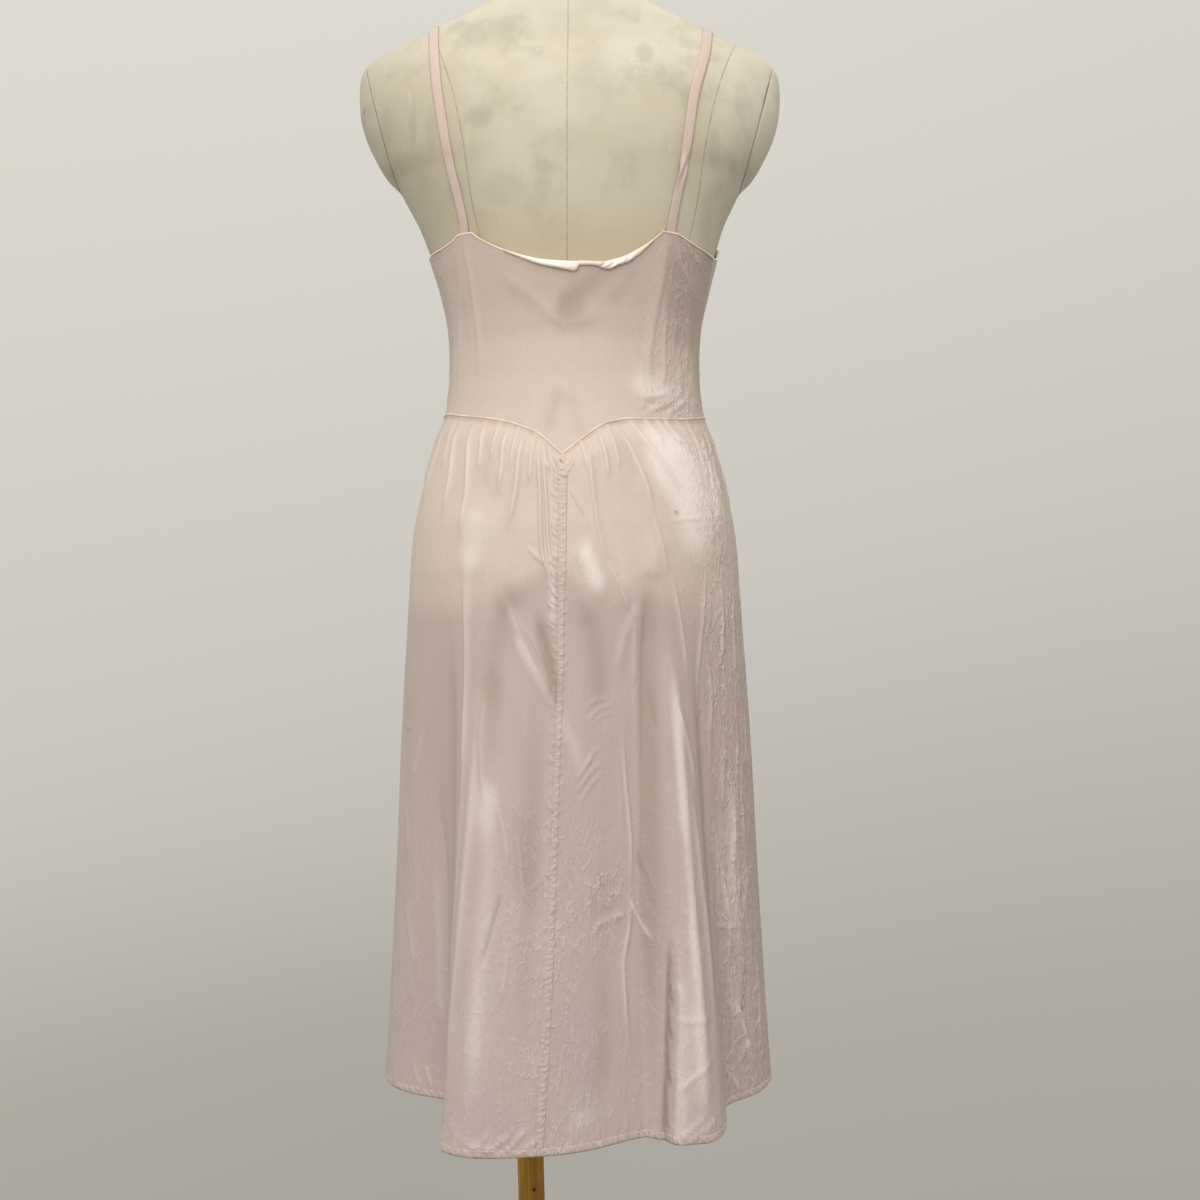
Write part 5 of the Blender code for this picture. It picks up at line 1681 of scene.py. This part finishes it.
# %% Satin material
SATIN_DULL = (0.80, 0.655, 0.575, 1)
SATIN_PALE = (0.92, 0.82, 0.76, 1)
SATIN_PAINTED_HIGHLIGHT = (1.0, 0.955, 0.915, 1)
DOUBLED_DULL = (0.74, 0.60, 0.53, 1)
DOUBLED_PALE = (0.84, 0.715, 0.645, 1)


def satin_recipe(recipe):
    place = recipe.place()
    cloudy = recipe.noise(place, 30.0, 3.0)
    colour = recipe.blend(cloudy.between(0.35, 0.65), SATIN_DULL, SATIN_PALE)
    # The fold mark paints a highlight on the satin.
    colour = recipe.blend(recipe.attribute("fold"), colour, SATIN_PAINTED_HIGHLIGHT)
    rough = 0.2 + cloudy * 0.14
    fine = recipe.noise(recipe.stretched(place, (1, 1, 0.4)), 260.0, 3.0)
    return colour, rough, fine * 0.3 + weave(recipe, place, SILK_PITCH) * 0.02, 0.4


def seam_recipe(recipe):
    place = recipe.place()
    cloudy = recipe.noise(place, 60.0, 3.0)
    colour = recipe.blend(cloudy.between(0.35, 0.65), DOUBLED_DULL, DOUBLED_PALE)
    rough = 0.34 + cloudy * 0.16
    fine = recipe.noise(place, 420.0, 3.0)
    return colour, rough, fine * 0.4 + weave(recipe, place, SILK_PITCH) * 0.02, 0.5


satin = finished("satin facing", satin_recipe, 0.3, {"Sheen Weight": 0.1, "Coat Weight": 0.15})
seam_silk = finished("doubled silk", seam_recipe, 0.4, SOFT_SHINE)
print("materials:", satin.name, "and", seam_silk.name)

# %% A rolled edge along a path
def closed_mesh(name, points, faces):
    """A smooth mesh whose faces all look outwards."""
    mesh = bpy.data.meshes.new(name)
    mesh.from_pydata([tuple(float(v) for v in point) for point in points], [], faces)
    shape = bmesh.new()
    shape.from_mesh(mesh)
    bmesh.ops.recalc_face_normals(shape, faces=shape.faces)
    shape.to_mesh(mesh)
    shape.free()
    mesh.shade_smooth()
    return mesh


def tube_along(name, angle, height, radius, tall, deep, sides, closed, material):
    """A soft tube along places on the body, `tall` and `deep` being its half sizes."""
    middle = on_ring(angle, height, radius)
    if closed:
        ahead = np.roll(middle, -1, axis=0)
        behind = np.roll(middle, 1, axis=0)
    else:
        ahead = np.vstack([middle[1:], middle[-1:]])
        behind = np.vstack([middle[:1], middle[:-1]])
    along = ahead - behind
    along /= np.linalg.norm(along, axis=1)[:, None]
    turn = np.radians(angle)
    outward = np.stack([np.cos(turn), np.sin(turn), 0 * turn], axis=-1)
    outward -= along * (outward * along).sum(axis=1)[:, None]
    outward /= np.linalg.norm(outward, axis=1)[:, None]
    upward = np.cross(along, outward)
    around = np.arange(sides) * 2 * math.pi / sides
    tall = np.broadcast_to(tall, angle.shape)
    deep = np.broadcast_to(deep, angle.shape)
    rings = middle[:, None, :]
    rings = rings + upward[:, None, :] * (tall[:, None] * np.cos(around))[:, :, None] * MM
    rings = rings + outward[:, None, :] * (deep[:, None] * np.sin(around))[:, :, None] * MM
    count = len(angle)
    faces = []
    for ring in range(count if closed else count - 1):
        for k in range(sides):
            here = ring * sides
            following = ((ring + 1) % count) * sides
            faces.append((here + k, here + (k + 1) % sides, following + (k + 1) % sides, following + k))
    if not closed:
        faces.append(tuple(range(sides)))
        faces.append(tuple(range(count * sides - 1, (count - 1) * sides - 1, -1)))
    return new_piece(name, closed_mesh(name, rings.reshape(-1, 3), faces), material)


def uneven(count, spacing, seed):
    """A wandering wave from -1 to 1 along `count` steps, with waves of about `spacing` steps."""
    random = np.random.default_rng(seed)
    knots = max(4, round(count / spacing))
    heights = random.uniform(-1, 1, knots)
    return smooth_through(np.linspace(0, 1, knots), heights, np.linspace(0, 1, count))


# %% Neck and armhole edges
EDGE_STEP = 0.7
EDGE_DOWN = 0.3
EDGE_TALL = 0.95
ROLL_SIDES = 8
back_columns = columns_through(corners_of(BACK_EDGES), EDGE_STEP)
front_columns = columns_through(corners_of(FRONT_EDGES), EDGE_STEP)
edge_angle = np.concatenate([back_columns[:-1], front_columns[:-1]])
edge_top = np.concatenate([back_edge(back_columns[:-1]), front_edge(front_columns[:-1])])
edge_middle = edge_top - EDGE_DOWN
edge_rolled_in = wave(edge_angle, 185, 11, 9)
edge_radius = bodice_radius(edge_angle, edge_middle) + 0.1 - 0.7 * edge_rolled_in
edge_deep = 0.75 + 0.9 * edge_rolled_in
edging = tube_along("dress_edging", edge_angle, edge_middle, edge_radius,
                    EDGE_TALL, edge_deep, ROLL_SIDES, True, satin)
print("rolled edge:", len(edging.data.polygons), "faces")

# %% [markdown]
# The waist seam is a thin roll, where two allowances are pressed together. The same tube makes
# it. An uneven thickness shows that cloth is drawn up in it, where an even one would be a cord.

# %% Waist seam
WAIST_STEPS = 900
WAIST_TALL = 1.05
WAIST_DEEP = 0.8
WAIST_OUT = 0.55
waist_angle = np.unique(np.append(np.linspace(-4, 356, WAIST_STEPS, endpoint=False), CENTRE_BACK_TOP))
waist_line = waist_height(waist_angle)
waist_plump = 1 + 0.28 * uneven(len(waist_angle), 7, 11)
waist_radius = bodice_radius(waist_angle, waist_line) + WAIST_OUT
waist_seam = tube_along("dress_waist_seam", waist_angle, waist_line, waist_radius,
                        WAIST_TALL * waist_plump, WAIST_DEEP, ROLL_SIDES, True, seam_silk)
print("waist seam:", len(waist_seam.data.polygons), "faces")

# %% [markdown]
# The centre back seam is felled: one allowance is folded round the other and sewn down flat. It
# is a narrow band with two edges, so it gets a grid of its own and not a tube. Its two rows of
# stitches draw it up, each in a rhythm of its own. The side seams are pressed and only pucker.

# %% Centre back seam
SEWN_WALL = 0.35 * MM
HEM_WALL = 0.3 * MM
FELL_TOP = 948.0
FELL_BEFORE = 0.22
FELL_STEP = 0.9
FELL_LANES = 11
FellPoint = namedtuple("FellPoint", "height width")
FELL_WIDTH = rows_of(
    FellPoint, (HEM_HEIGHT, 6.6), (420, 8.0), (500, 7.4), (620, 5.6), (700, 5.4), (810, 6.4),
    (850, 7.8), (916, 8.2), (FELL_TOP, 3.4),
)


def waves_along(places, shortest, longest, seed):
    """Rounded puckers across a strip, each with its own length, from 0 to 1."""
    random = np.random.default_rng(seed)
    wave_height = np.zeros_like(places)
    start = places.min()
    while start < places.max():
        length = random.uniform(shortest, longest)
        size = random.uniform(0.45, 1.0)
        share = np.clip((places - start) / length, 0, 1)
        wave_height += size * np.sin(np.pi * share) ** 2 * (share < 1)
        start += length
    return wave_height


fell_height = np.arange(HEM_HEIGHT + 0.5, FELL_TOP, FELL_STEP)[::-1]
fell_width = read(FELL_WIDTH, "height", "width", fell_height)
lane = np.linspace(0, 1, FELL_LANES)[None, :]
fell_start = centre_back(fell_height)[:, None]
fell_radius = skirt_radius(fell_start, fell_height[:, None])
fell_angle = fell_start + np.degrees((lane - FELL_BEFORE) * fell_width[:, None] / fell_radius)
fell_level = np.broadcast_to(fell_height[:, None], fell_angle.shape)
pucker = waves_along(fell_height, 2.6, 5.2, 21)[:, None]
shifted = waves_along(fell_height + 1.3, 2.2, 4.4, 22)[:, None]
crown = np.sin(np.pi * lane) ** 0.6
lift = 0.32 + crown * (0.2 + 0.6 * (pucker * (1 - lane) + shifted * lane)) - 0.25 * (lane > 0.97)
before_seam = creased_skirt(left_creases, fell_angle, fell_level)
after_seam = creased_skirt(right_creases, fell_angle, fell_level)
on_skirt = np.where(fell_angle < fell_start, np.maximum(before_seam, after_seam), after_seam)
# The puckers' ridge mark paints their crests as highlights and their troughs as shade.
fell_ridge = (pucker * (1 - lane) + shifted * lane - 0.4) * 0.8
fell_marks = silk_marks(fell_angle, fell_level, on_skirt, fell_ridge)
fell_marks["seam"] = 0.2 + 0.3 * ease_in((fell_level - 560) / 240)
centre_seam = new_panel("dress_centre_back_seam", fell_angle, fell_level, on_skirt + lift,
                        fell_marks, SEWN_WALL, silk)

# %% Side seams
SIDE_SEAM_STEPS = 420
SIDE_SEAM_LANES = 6
SIDE_SEAM_HALF = 2.2


def side_seam(name, at, turn, back_creases, seed):
    """A pressed side seam from the armhole to the hem, between the back at `at` and the front."""
    top = float(back_edge(np.array([at]))[0]) - 1.5
    level_at = np.linspace(top, HEM_HEIGHT + 1, SIDE_SEAM_STEPS)[:, None]
    across = np.linspace(-1, 1, SIDE_SEAM_LANES)[None, :]
    angle = at + np.degrees(across * SIDE_SEAM_HALF / bodice_radius(at, level_at))
    height = np.broadcast_to(level_at, angle.shape)
    skirt = np.maximum(creased_skirt(back_creases, angle, height),
                       creased_skirt(front_creases, angle + turn, height))
    bodice = np.maximum(creased_bodice(BODICE_BACK_CREASES, angle, height),
                        creased_bodice(BODICE_FRONT_CREASES, angle + turn, height))
    radius = np.where(height > waist_height(angle), bodice, skirt)
    drawn = waves_along(level_at, 5.0, 14.0, seed)
    lift = 0.35 + (1 - across ** 2) * (0.3 + 0.35 * drawn)
    # The lift's ridge mark paints the seam's crest as a highlight and its edges as shade.
    marks = silk_marks(angle, height, radius, (lift - 0.7) * 0.8)
    marks["seam"] = 0.35
    return new_panel(name, angle, height, radius + lift, marks, SEWN_WALL, silk)


seam_left = side_seam("dress_side_seam_left", SIDE_SEAM_LEFT, 360, left_creases, 51)
seam_right = side_seam("dress_side_seam_right", SIDE_SEAM_RIGHT, 0, right_creases, 52)

# %% [markdown]
# At the low back neck the facing has rolled out and shows its shiny side. It is flat on the
# wearer's left, with a broad painted highlight, and crumpled on the right, with a small one. The
# strip starts inside the neck edge, turns over it and comes down on the outside.

# %% Neck facing
FacingPoint = namedtuple("FacingPoint", "angle depth")
NECK_FACING = rows_of(
    FacingPoint, (56, 1.2), (62, 2.4), (70, 4.6), (80, 6.6), (87, 8.2), (91, 9.2), (92.5, 8.0),
    (94, 4.2), (98, 3.8), (103, 4.4), (106, 6.4), (110, 8.2), (114, 6.6), (119, 7.2), (124, 5.2),
    (130, 1.2),
)
FACING_COLUMNS = 260
FACING_ROWS = 16
FACING_CRUMPLES = creases_of(
    (((103, 1119), (105.6, 1122.6), (106.6, 1125)), 1.5, 0.9, 1.1),
    (((104.6, 1117.6), (109, 1121), (111, 1125.4)), 1.7, 1.1, 1.0),
    (((108, 1117), (112.4, 1120.6), (115.6, 1127)), 1.3, 0.9, 1.2),
    (((111.6, 1120), (116, 1124), (118.6, 1130)), 1.6, 1.1, 1.0),
    (((116, 1123), (119.6, 1127.4), (122, 1133)), 1.2, 0.9, 1.1),
    (((62, 1129), (72, 1123), (82, 1119), (90, 1116.6)), 1.0, 2.2, 1.4),
)
facing_angle = np.linspace(NECK_FACING[0].angle, NECK_FACING[-1].angle, FACING_COLUMNS)[None, :]
facing_share = np.linspace(-0.45, 1, FACING_ROWS)[:, None]
facing_depth = read(NECK_FACING, "angle", "depth", facing_angle)
facing_top = back_edge(facing_angle) + 0.6
facing_turned = np.clip((facing_share + 0.45) / 0.6, 0, 1)
facing_level = facing_top - facing_depth * np.abs(facing_share) - 0.5 * (facing_turned - 0.75) ** 2
facing_full = np.broadcast_to(facing_angle, facing_level.shape)
facing_lift = 1.7 * np.sin(np.pi * (facing_turned - 0.5)) - 0.2
facing_lift = facing_lift + 0.7 * np.sin(np.pi * np.clip(facing_share, 0, 1))
facing_lift = facing_lift - 0.8 * ease_in((facing_share - 0.8) / 0.2)
facing_lift = facing_lift + creased(FACING_CRUMPLES, facing_full, facing_level) * (facing_share > 0)
facing_radius = bodice_radius(facing_full, facing_top) + facing_lift
# The fold mark paints the facing's highlights.
facing_marks = {"fold": 0.85 * wave(facing_full, 78, 16, 11) + 0.5 * wave(facing_full, 111, 3, 4)}
neck_facing = new_panel("dress_neck_facing", facing_full, facing_level, facing_radius,
                        facing_marks, SEWN_WALL, satin)

# %% [markdown]
# The hem is turned up twice and sewn down, so it is three layers deep, a little pinker and drawn
# up here and there. The band wraps the lower edge of the panels from the outside to the inside.

# %% Hem
HEM_COLUMNS = 1300
HemPoint = namedtuple("HemPoint", "out up")
HEM_PROFILE = rows_of(
    HemPoint, (0.3, 6.4), (0.55, 5.4), (0.5, 3.2), (0.5, 1.0), (0.0, -0.6), (-0.7, 1.0),
    (-0.8, 3.2), (-0.6, 6.4),
)
hem_angle = np.linspace(-4, 356, HEM_COLUMNS, endpoint=False)[None, :]
hem_level = HEM_HEIGHT + column(HEM_PROFILE, "up")[:, None] + 0 * hem_angle
hem_full = np.broadcast_to(hem_angle, hem_level.shape)
hem_drawn = waves_along(hem_full * 3.0 + hem_level * 0.9, 2.6, 8.0, 31)
hem_out = column(HEM_PROFILE, "out")[:, None] * (1 + 1.3 * hem_drawn)
hem_above = np.maximum(hem_level, HEM_HEIGHT)
on_left = creased_skirt(left_creases, hem_full, hem_above)
on_right = creased_skirt(right_creases, hem_full, hem_above)
on_front = creased_skirt(front_creases, hem_full, hem_above)
hem_radius = np.where(hem_full < CENTRE_BACK_HEM, on_left, on_right)
hem_radius = np.where(hem_full < SIDE_SEAM_RIGHT, hem_radius, on_front) + hem_out
# The drawn hem's ridge mark paints its puckers as highlights and shade.
hem_marks = silk_marks(hem_full, hem_level, hem_radius, (hem_drawn - 0.35) * 1.2)
hem_marks["crinkle"] = 0.7
hem_marks["seam"] = 0.26
hem = new_panel("dress_hem", hem_full, hem_level, hem_radius, hem_marks, HEM_WALL, silk, closed=True)

# %% [markdown]
# Stitches repeat along paths, so Geometry Nodes make them: a path becomes a curve, the curve is
# divided into even steps, and a short thread is set on every step in line with it. The thread's
# size and spacing are the tree's inputs, and the instances are realized at the end.

# %% A tree that sews along a path
def stitch_tree():
    tree = bpy.data.node_groups.new("stitches", "GeometryNodeTree")
    tree.interface.new_socket("Path", in_out="INPUT", socket_type="NodeSocketGeometry")
    for name in ("Spacing", "Length", "Thickness"):
        tree.interface.new_socket(name, in_out="INPUT", socket_type="NodeSocketFloat")
    tree.interface.new_socket("Thread", in_out="INPUT", socket_type="NodeSocketMaterial")
    tree.interface.new_socket("Stitches", in_out="OUTPUT", socket_type="NodeSocketGeometry")
    recipe = Recipe(tree)
    given = {}
    for socket in recipe.add("NodeGroupInput").socket.node.outputs:
        given[socket.name] = Value(recipe, socket)
    curve = recipe.add("GeometryNodeMeshToCurve", {}, {"Mesh": given["Path"]})
    sockets = {"Curve": curve, "Length": given["Spacing"]}
    steps = recipe.add("GeometryNodeResampleCurve", {"mode": "LENGTH"}, sockets)
    tangent = recipe.add("GeometryNodeInputTangent")
    turn = recipe.add("FunctionNodeAlignRotationToVector", {"axis": "Z"}, {"Vector": tangent})
    bead = recipe.add("GeometryNodeMeshUVSphere", {}, {"Segments": 5, "Rings": 4, "Radius": 0.5})
    sockets = {"X": given["Thickness"], "Y": given["Thickness"], "Z": given["Length"]}
    size = recipe.add("ShaderNodeCombineXYZ", {}, sockets)
    sockets = {"Points": steps, "Instance": bead, "Rotation": turn, "Scale": size}
    sewn = recipe.add("GeometryNodeInstanceOnPoints", {}, sockets)
    real = recipe.add("GeometryNodeRealizeInstances", {}, {"Geometry": sewn})
    sockets = {"Geometry": real, "Material": given["Thread"]}
    painted = recipe.add("GeometryNodeSetMaterial", {}, sockets)
    result = tree.nodes.new("NodeGroupOutput")
    tree.links.new(painted.socket, result.inputs["Stitches"])
    return tree


STITCHES = stitch_tree()
print("sewing tree:", len(STITCHES.nodes), "nodes")

# %% Thread material
THREAD_DULL = (0.68, 0.53, 0.46, 1)
THREAD_PALE = (0.82, 0.70, 0.63, 1)


def thread_recipe(recipe):
    place = recipe.place()
    twist = recipe.noise(place, 900.0, 2.0)
    colour = recipe.blend(twist.between(0.3, 0.7), THREAD_DULL, THREAD_PALE)
    return colour, 0.4 + twist * 0.2, twist, 0.4


thread = finished("silk thread", thread_recipe, 0.5)
print("material:", thread.name)


# %% Sewing along several paths
def sew(name, paths, spacing, length, thickness):
    """Stitches along several paths of world points, as one plain mesh."""
    points = []
    edges = []
    for path in paths:
        first = len(points)
        points.extend(tuple(point) for point in path)
        edges.extend((first + k, first + k + 1) for k in range(len(path) - 1))
    mesh = bpy.data.meshes.new(name)
    mesh.from_pydata(points, edges, [])
    piece = bpy.data.objects.new(name, mesh)
    bpy.context.scene.collection.objects.link(piece)
    modifier = piece.modifiers.new("sewing", "NODES")
    modifier.node_group = STITCHES
    inputs = {"Spacing": spacing * MM, "Length": length * MM, "Thickness": thickness * MM}
    inputs["Thread"] = thread
    for item in STITCHES.interface.items_tree:
        if item.in_out == "INPUT" and item.name in inputs:
            modifier[item.identifier] = inputs[item.name]
    make_plain(piece)
    if not piece.data.materials:
        piece.data.materials.append(thread)
    print(f"{name}: {len(piece.data.polygons)} faces")
    return piece


# %% [markdown]
# A row of stitches needs only its path. They run under the edges of the bodice, above the waist
# seam, along both sides of the felled seam and round the hem.

# %% Rows of stitching
ARMHOLE_BELOW = 4.8
NECK_BELOW = 2.6
WAIST_ABOVE = 2.2
ON_CLOTH = 0.3
STITCH_SPACING = 2.6
STITCH_LENGTH = 1.8
STITCH_THICK = 0.34


def edge_row(angles, edge_of, below):
    """A row that follows an edge of the bodice at a distance."""
    height = edge_of(angles) - below
    return on_ring(angles, height, bodice_radius(angles, height) + ON_CLOTH)


armhole_left = np.linspace(SIDE_SEAM_LEFT, BACK_ARMHOLE_LEFT[-1].angle, 60)
armhole_right = np.linspace(BACK_ARMHOLE_RIGHT[0].angle, SIDE_SEAM_RIGHT, 60)
back_neck = np.linspace(BACK_NECK[0].angle, BACK_NECK[-1].angle, 140)
front_edge_row = np.linspace(SIDE_SEAM_RIGHT, 360 + SIDE_SEAM_LEFT, 400)
edge_paths = [
    edge_row(armhole_left, back_edge, ARMHOLE_BELOW),
    edge_row(armhole_right, back_edge, ARMHOLE_BELOW),
    edge_row(back_neck, back_edge, NECK_BELOW),
    edge_row(front_edge_row, front_edge, ARMHOLE_BELOW),
]
above_line = waist_line + WAIST_ABOVE
above_waist = on_ring(waist_angle, above_line, bodice_radius(waist_angle, above_line) + ON_CLOTH)
fell_paths = []
for lane_number in (1, FELL_LANES - 2):
    lane_radius = (on_skirt + lift)[::2, lane_number] + 0.2
    fell_paths.append(on_ring(fell_angle[::2, lane_number], fell_level[::2, lane_number], lane_radius))
hem_path = on_ring(hem_full[0], hem_level[0] - 0.9, hem_radius[0] + 0.35)
stitch_paths = edge_paths + [above_waist] + fell_paths + [hem_path]
stitches = sew("dress_stitches", stitch_paths, STITCH_SPACING, STITCH_LENGTH, STITCH_THICK)

# %% [markdown]
# One end of thread was never cut off: it stands up beside the strap on the wearer's right.

# %% Loose thread
THREAD_HALF = 0.3
THREAD_SIDES = 6
THREAD_END = (
    (133.4, 1153, 0.6),
    (133.6, 1156, 1.4),
    (134.4, 1158.4, 2.0),
    (134.2, 1161, 2.2),
    (133.0, 1163.4, 2.8),
)
ends = np.array(THREAD_END)
steps = np.linspace(0, 1, 22)
knots = np.linspace(0, 1, len(ends))
thread_angle, thread_height, thread_out = (smooth_through(knots, ends[:, k], steps) for k in range(3))
thread_radius = bodice_radius(thread_angle, thread_height) + thread_out
loose_thread = tube_along("dress_loose_thread", thread_angle, thread_height, thread_radius,
                          THREAD_HALF, THREAD_HALF, THREAD_SIDES, False, thread)
print("loose thread:", len(loose_thread.data.polygons), "faces")

# %% [markdown]
# The stand is a turned wooden pole, which leans a little, and a plain round foot. Both are
# profiles turned round an axis, with more steps than the solids have. The old varnish is worn
# and streaked along the grain. A small peg hole just under the hem is a dent in the bump, and
# its dark inside is painted shade.

# %% Wood material
PEG_HOLE = (39.8, 229.4)
WOOD_DARK = (0.175, 0.082, 0.004, 1)
WOOD_PALE = (0.385, 0.20, 0.012, 1)
WOOD_WORN = (0.22, 0.12, 0.02, 1)
PEG_HOLE_SHADE = (0.02, 0.012, 0.006, 1)


def wood_recipe(recipe):
    place = recipe.place()
    across, back, up = recipe.parts(place)
    upright = recipe.noise(recipe.stretched(place, (1, 1, 0.05)), 190.0, 5.0, 0.6)
    lying = recipe.noise(recipe.stretched(place, (1, 0.05, 1)), 150.0, 5.0, 0.6)
    on_foot = (0.0495 - up).between(0.0, 0.001)
    grain = upright * (1.0 - on_foot) + lying * on_foot
    broad = recipe.noise(recipe.stretched(place, (1, 1, 0.4)), 30.0, 3.0)
    colour = recipe.blend(grain.between(0.35, 0.68), WOOD_DARK, WOOD_PALE)
    colour = recipe.blend(broad.between(0.45, 0.7) * 0.5, colour, WOOD_WORN)
    side = (across - PEG_HOLE[0] * MM) / (1.7 * MM)
    rise = (up - PEG_HOLE[1] * MM) / (2.1 * MM)
    # The peg hole's dark inside is painted shade.
    hole = (1.0 - (side * side + rise * rise)).between(0.0, 0.3) * back.between(0.0, 0.004)
    colour = recipe.blend(hole, colour, PEG_HOLE_SHADE)
    rough = 0.42 + grain * 0.25
    return colour, rough, grain * 0.5 - hole * 3.0, 0.4


wood = finished("ochre wood", wood_recipe, 0.5, {"Specular IOR Level": 0.3})
print("material:", wood.name)

# %% Pole and foot
POLE_RADIUS = 13.25
POLE_AT_HEM = (43.4, 234.0)
POLE_LEAN = 0.028
BOSS_HEIGHT = 50.0
FOOT_RADIUS = 200.0
TURNED_STEPS = 96
TurnedPoint = namedtuple("TurnedPoint", "radius height")
POLE_PROFILE = rows_of(
    TurnedPoint, (0, BOSS_HEIGHT + 0.3), (POLE_RADIUS - 0.6, BOSS_HEIGHT + 0.3),
    (POLE_RADIUS, BOSS_HEIGHT + 1.2), (POLE_RADIUS - 0.2, 300), (POLE_RADIUS, 520),
    (POLE_RADIUS, FORM_SECTIONS[0].height - 0.3), (0, FORM_SECTIONS[0].height - 0.3),
)
FOOT_PROFILE = rows_of(
    TurnedPoint, (0, 50), (19, 50), (22.6, 49), (24, 46), (24.4, 41), (26, 36), (31, 31.4),
    (40, 27.4), (52, 25), (120, 22.2), (184, 19.2), (192, 18), (197, 15), (199.6, 11),
    (FOOT_RADIUS, 7), (199.6, 3), (198, 0.6), (196.6, 0), (0, 0),
)


def turned(name, profile, axis_at, material):
    """A profile turned round an axis, whose place across is axis_at(height)."""
    around = np.arange(TURNED_STEPS) * 2 * math.pi / TURNED_STEPS
    points = []
    for point in profile:
        if point.radius == 0:
            points.append((axis_at(point.height) * MM, 0, point.height * MM))
            continue
        across = (axis_at(point.height) + point.radius * np.cos(around)) * MM
        back = point.radius * np.sin(around) * MM
        points.extend(zip(across, back, np.full(TURNED_STEPS, point.height * MM)))
    faces = []
    last = len(points) - 1
    rings = len(profile) - 2
    for k in range(TURNED_STEPS):
        beside = (k + 1) % TURNED_STEPS
        faces.append((0, 1 + k, 1 + beside))
        for ring in range(rings - 1):
            here = 1 + ring * TURNED_STEPS
            following = here + TURNED_STEPS
            faces.append((here + k, following + k, following + beside, here + beside))
        here = 1 + (rings - 1) * TURNED_STEPS
        faces.append((here + k, last, here + beside))
    mesh = closed_mesh(name, points, faces)
    mesh.set_sharp_from_angle(angle=math.radians(40))
    piece = new_piece(name, mesh, material)
    print(f"{name}: {len(mesh.polygons)} faces")
    return piece


def pole_axis(height):
    return POLE_AT_HEM[0] + (height - POLE_AT_HEM[1]) * POLE_LEAN


pole = turned("stand_pole", POLE_PROFILE, pole_axis, wood)
foot = turned("stand_foot", FOOT_PROFILE, lambda height: pole_axis(BOSS_HEIGHT), wood)

# %% [markdown]
# The last steps attach each piece to the body it rides on and hide the solid that each finer
# piece stands for.

# %% Ride, and hide the replaced solids
REPLACED = (
    (skirt_back_left, "skirt_back_left", "silk"),
    (skirt_back_right, "skirt_back_right", "silk"),
    (skirt_front, "skirt_front", "silk"),
    (bodice_back, "bodice_back", "silk"),
    (bodice_front, "bodice_front", "silk"),
    (neck_facing, "neck_facing", "satin"),
    (strap_left, "strap_left", "silk"),
    (strap_right, "strap_right", "silk"),
    (form_torso, "form_torso", "canvas"),
    (form_cap_left, "form_cap_left", "canvas"),
    (form_cap_right, "form_cap_right", "canvas"),
    (pole, "pole", "wood"),
    (foot, "base", "wood"),
)
ADDED = (
    (edging, "satin"),
    (waist_seam, "silk"),
    (centre_seam, "silk"),
    (seam_left, "silk"),
    (seam_right, "silk"),
    (hem, "silk"),
    (stitches, "silk"),
    (loose_thread, "silk"),
)
for piece, node, finish in REPLACED:
    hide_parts(node)
for piece, finish in [(row[0], row[-1]) for row in REPLACED + ADDED]:
    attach(piece, "root")

# %% [markdown]
# The record below holds a cut of cloth: the flat size of the cloth that shows, how it is held and
# what it rests on. A flared or curved panel also needs its area, which is less than its width
# times its length. No piece is declared with it here.

Cut = namedtuple("Cut", "piece width length area held rests_on")
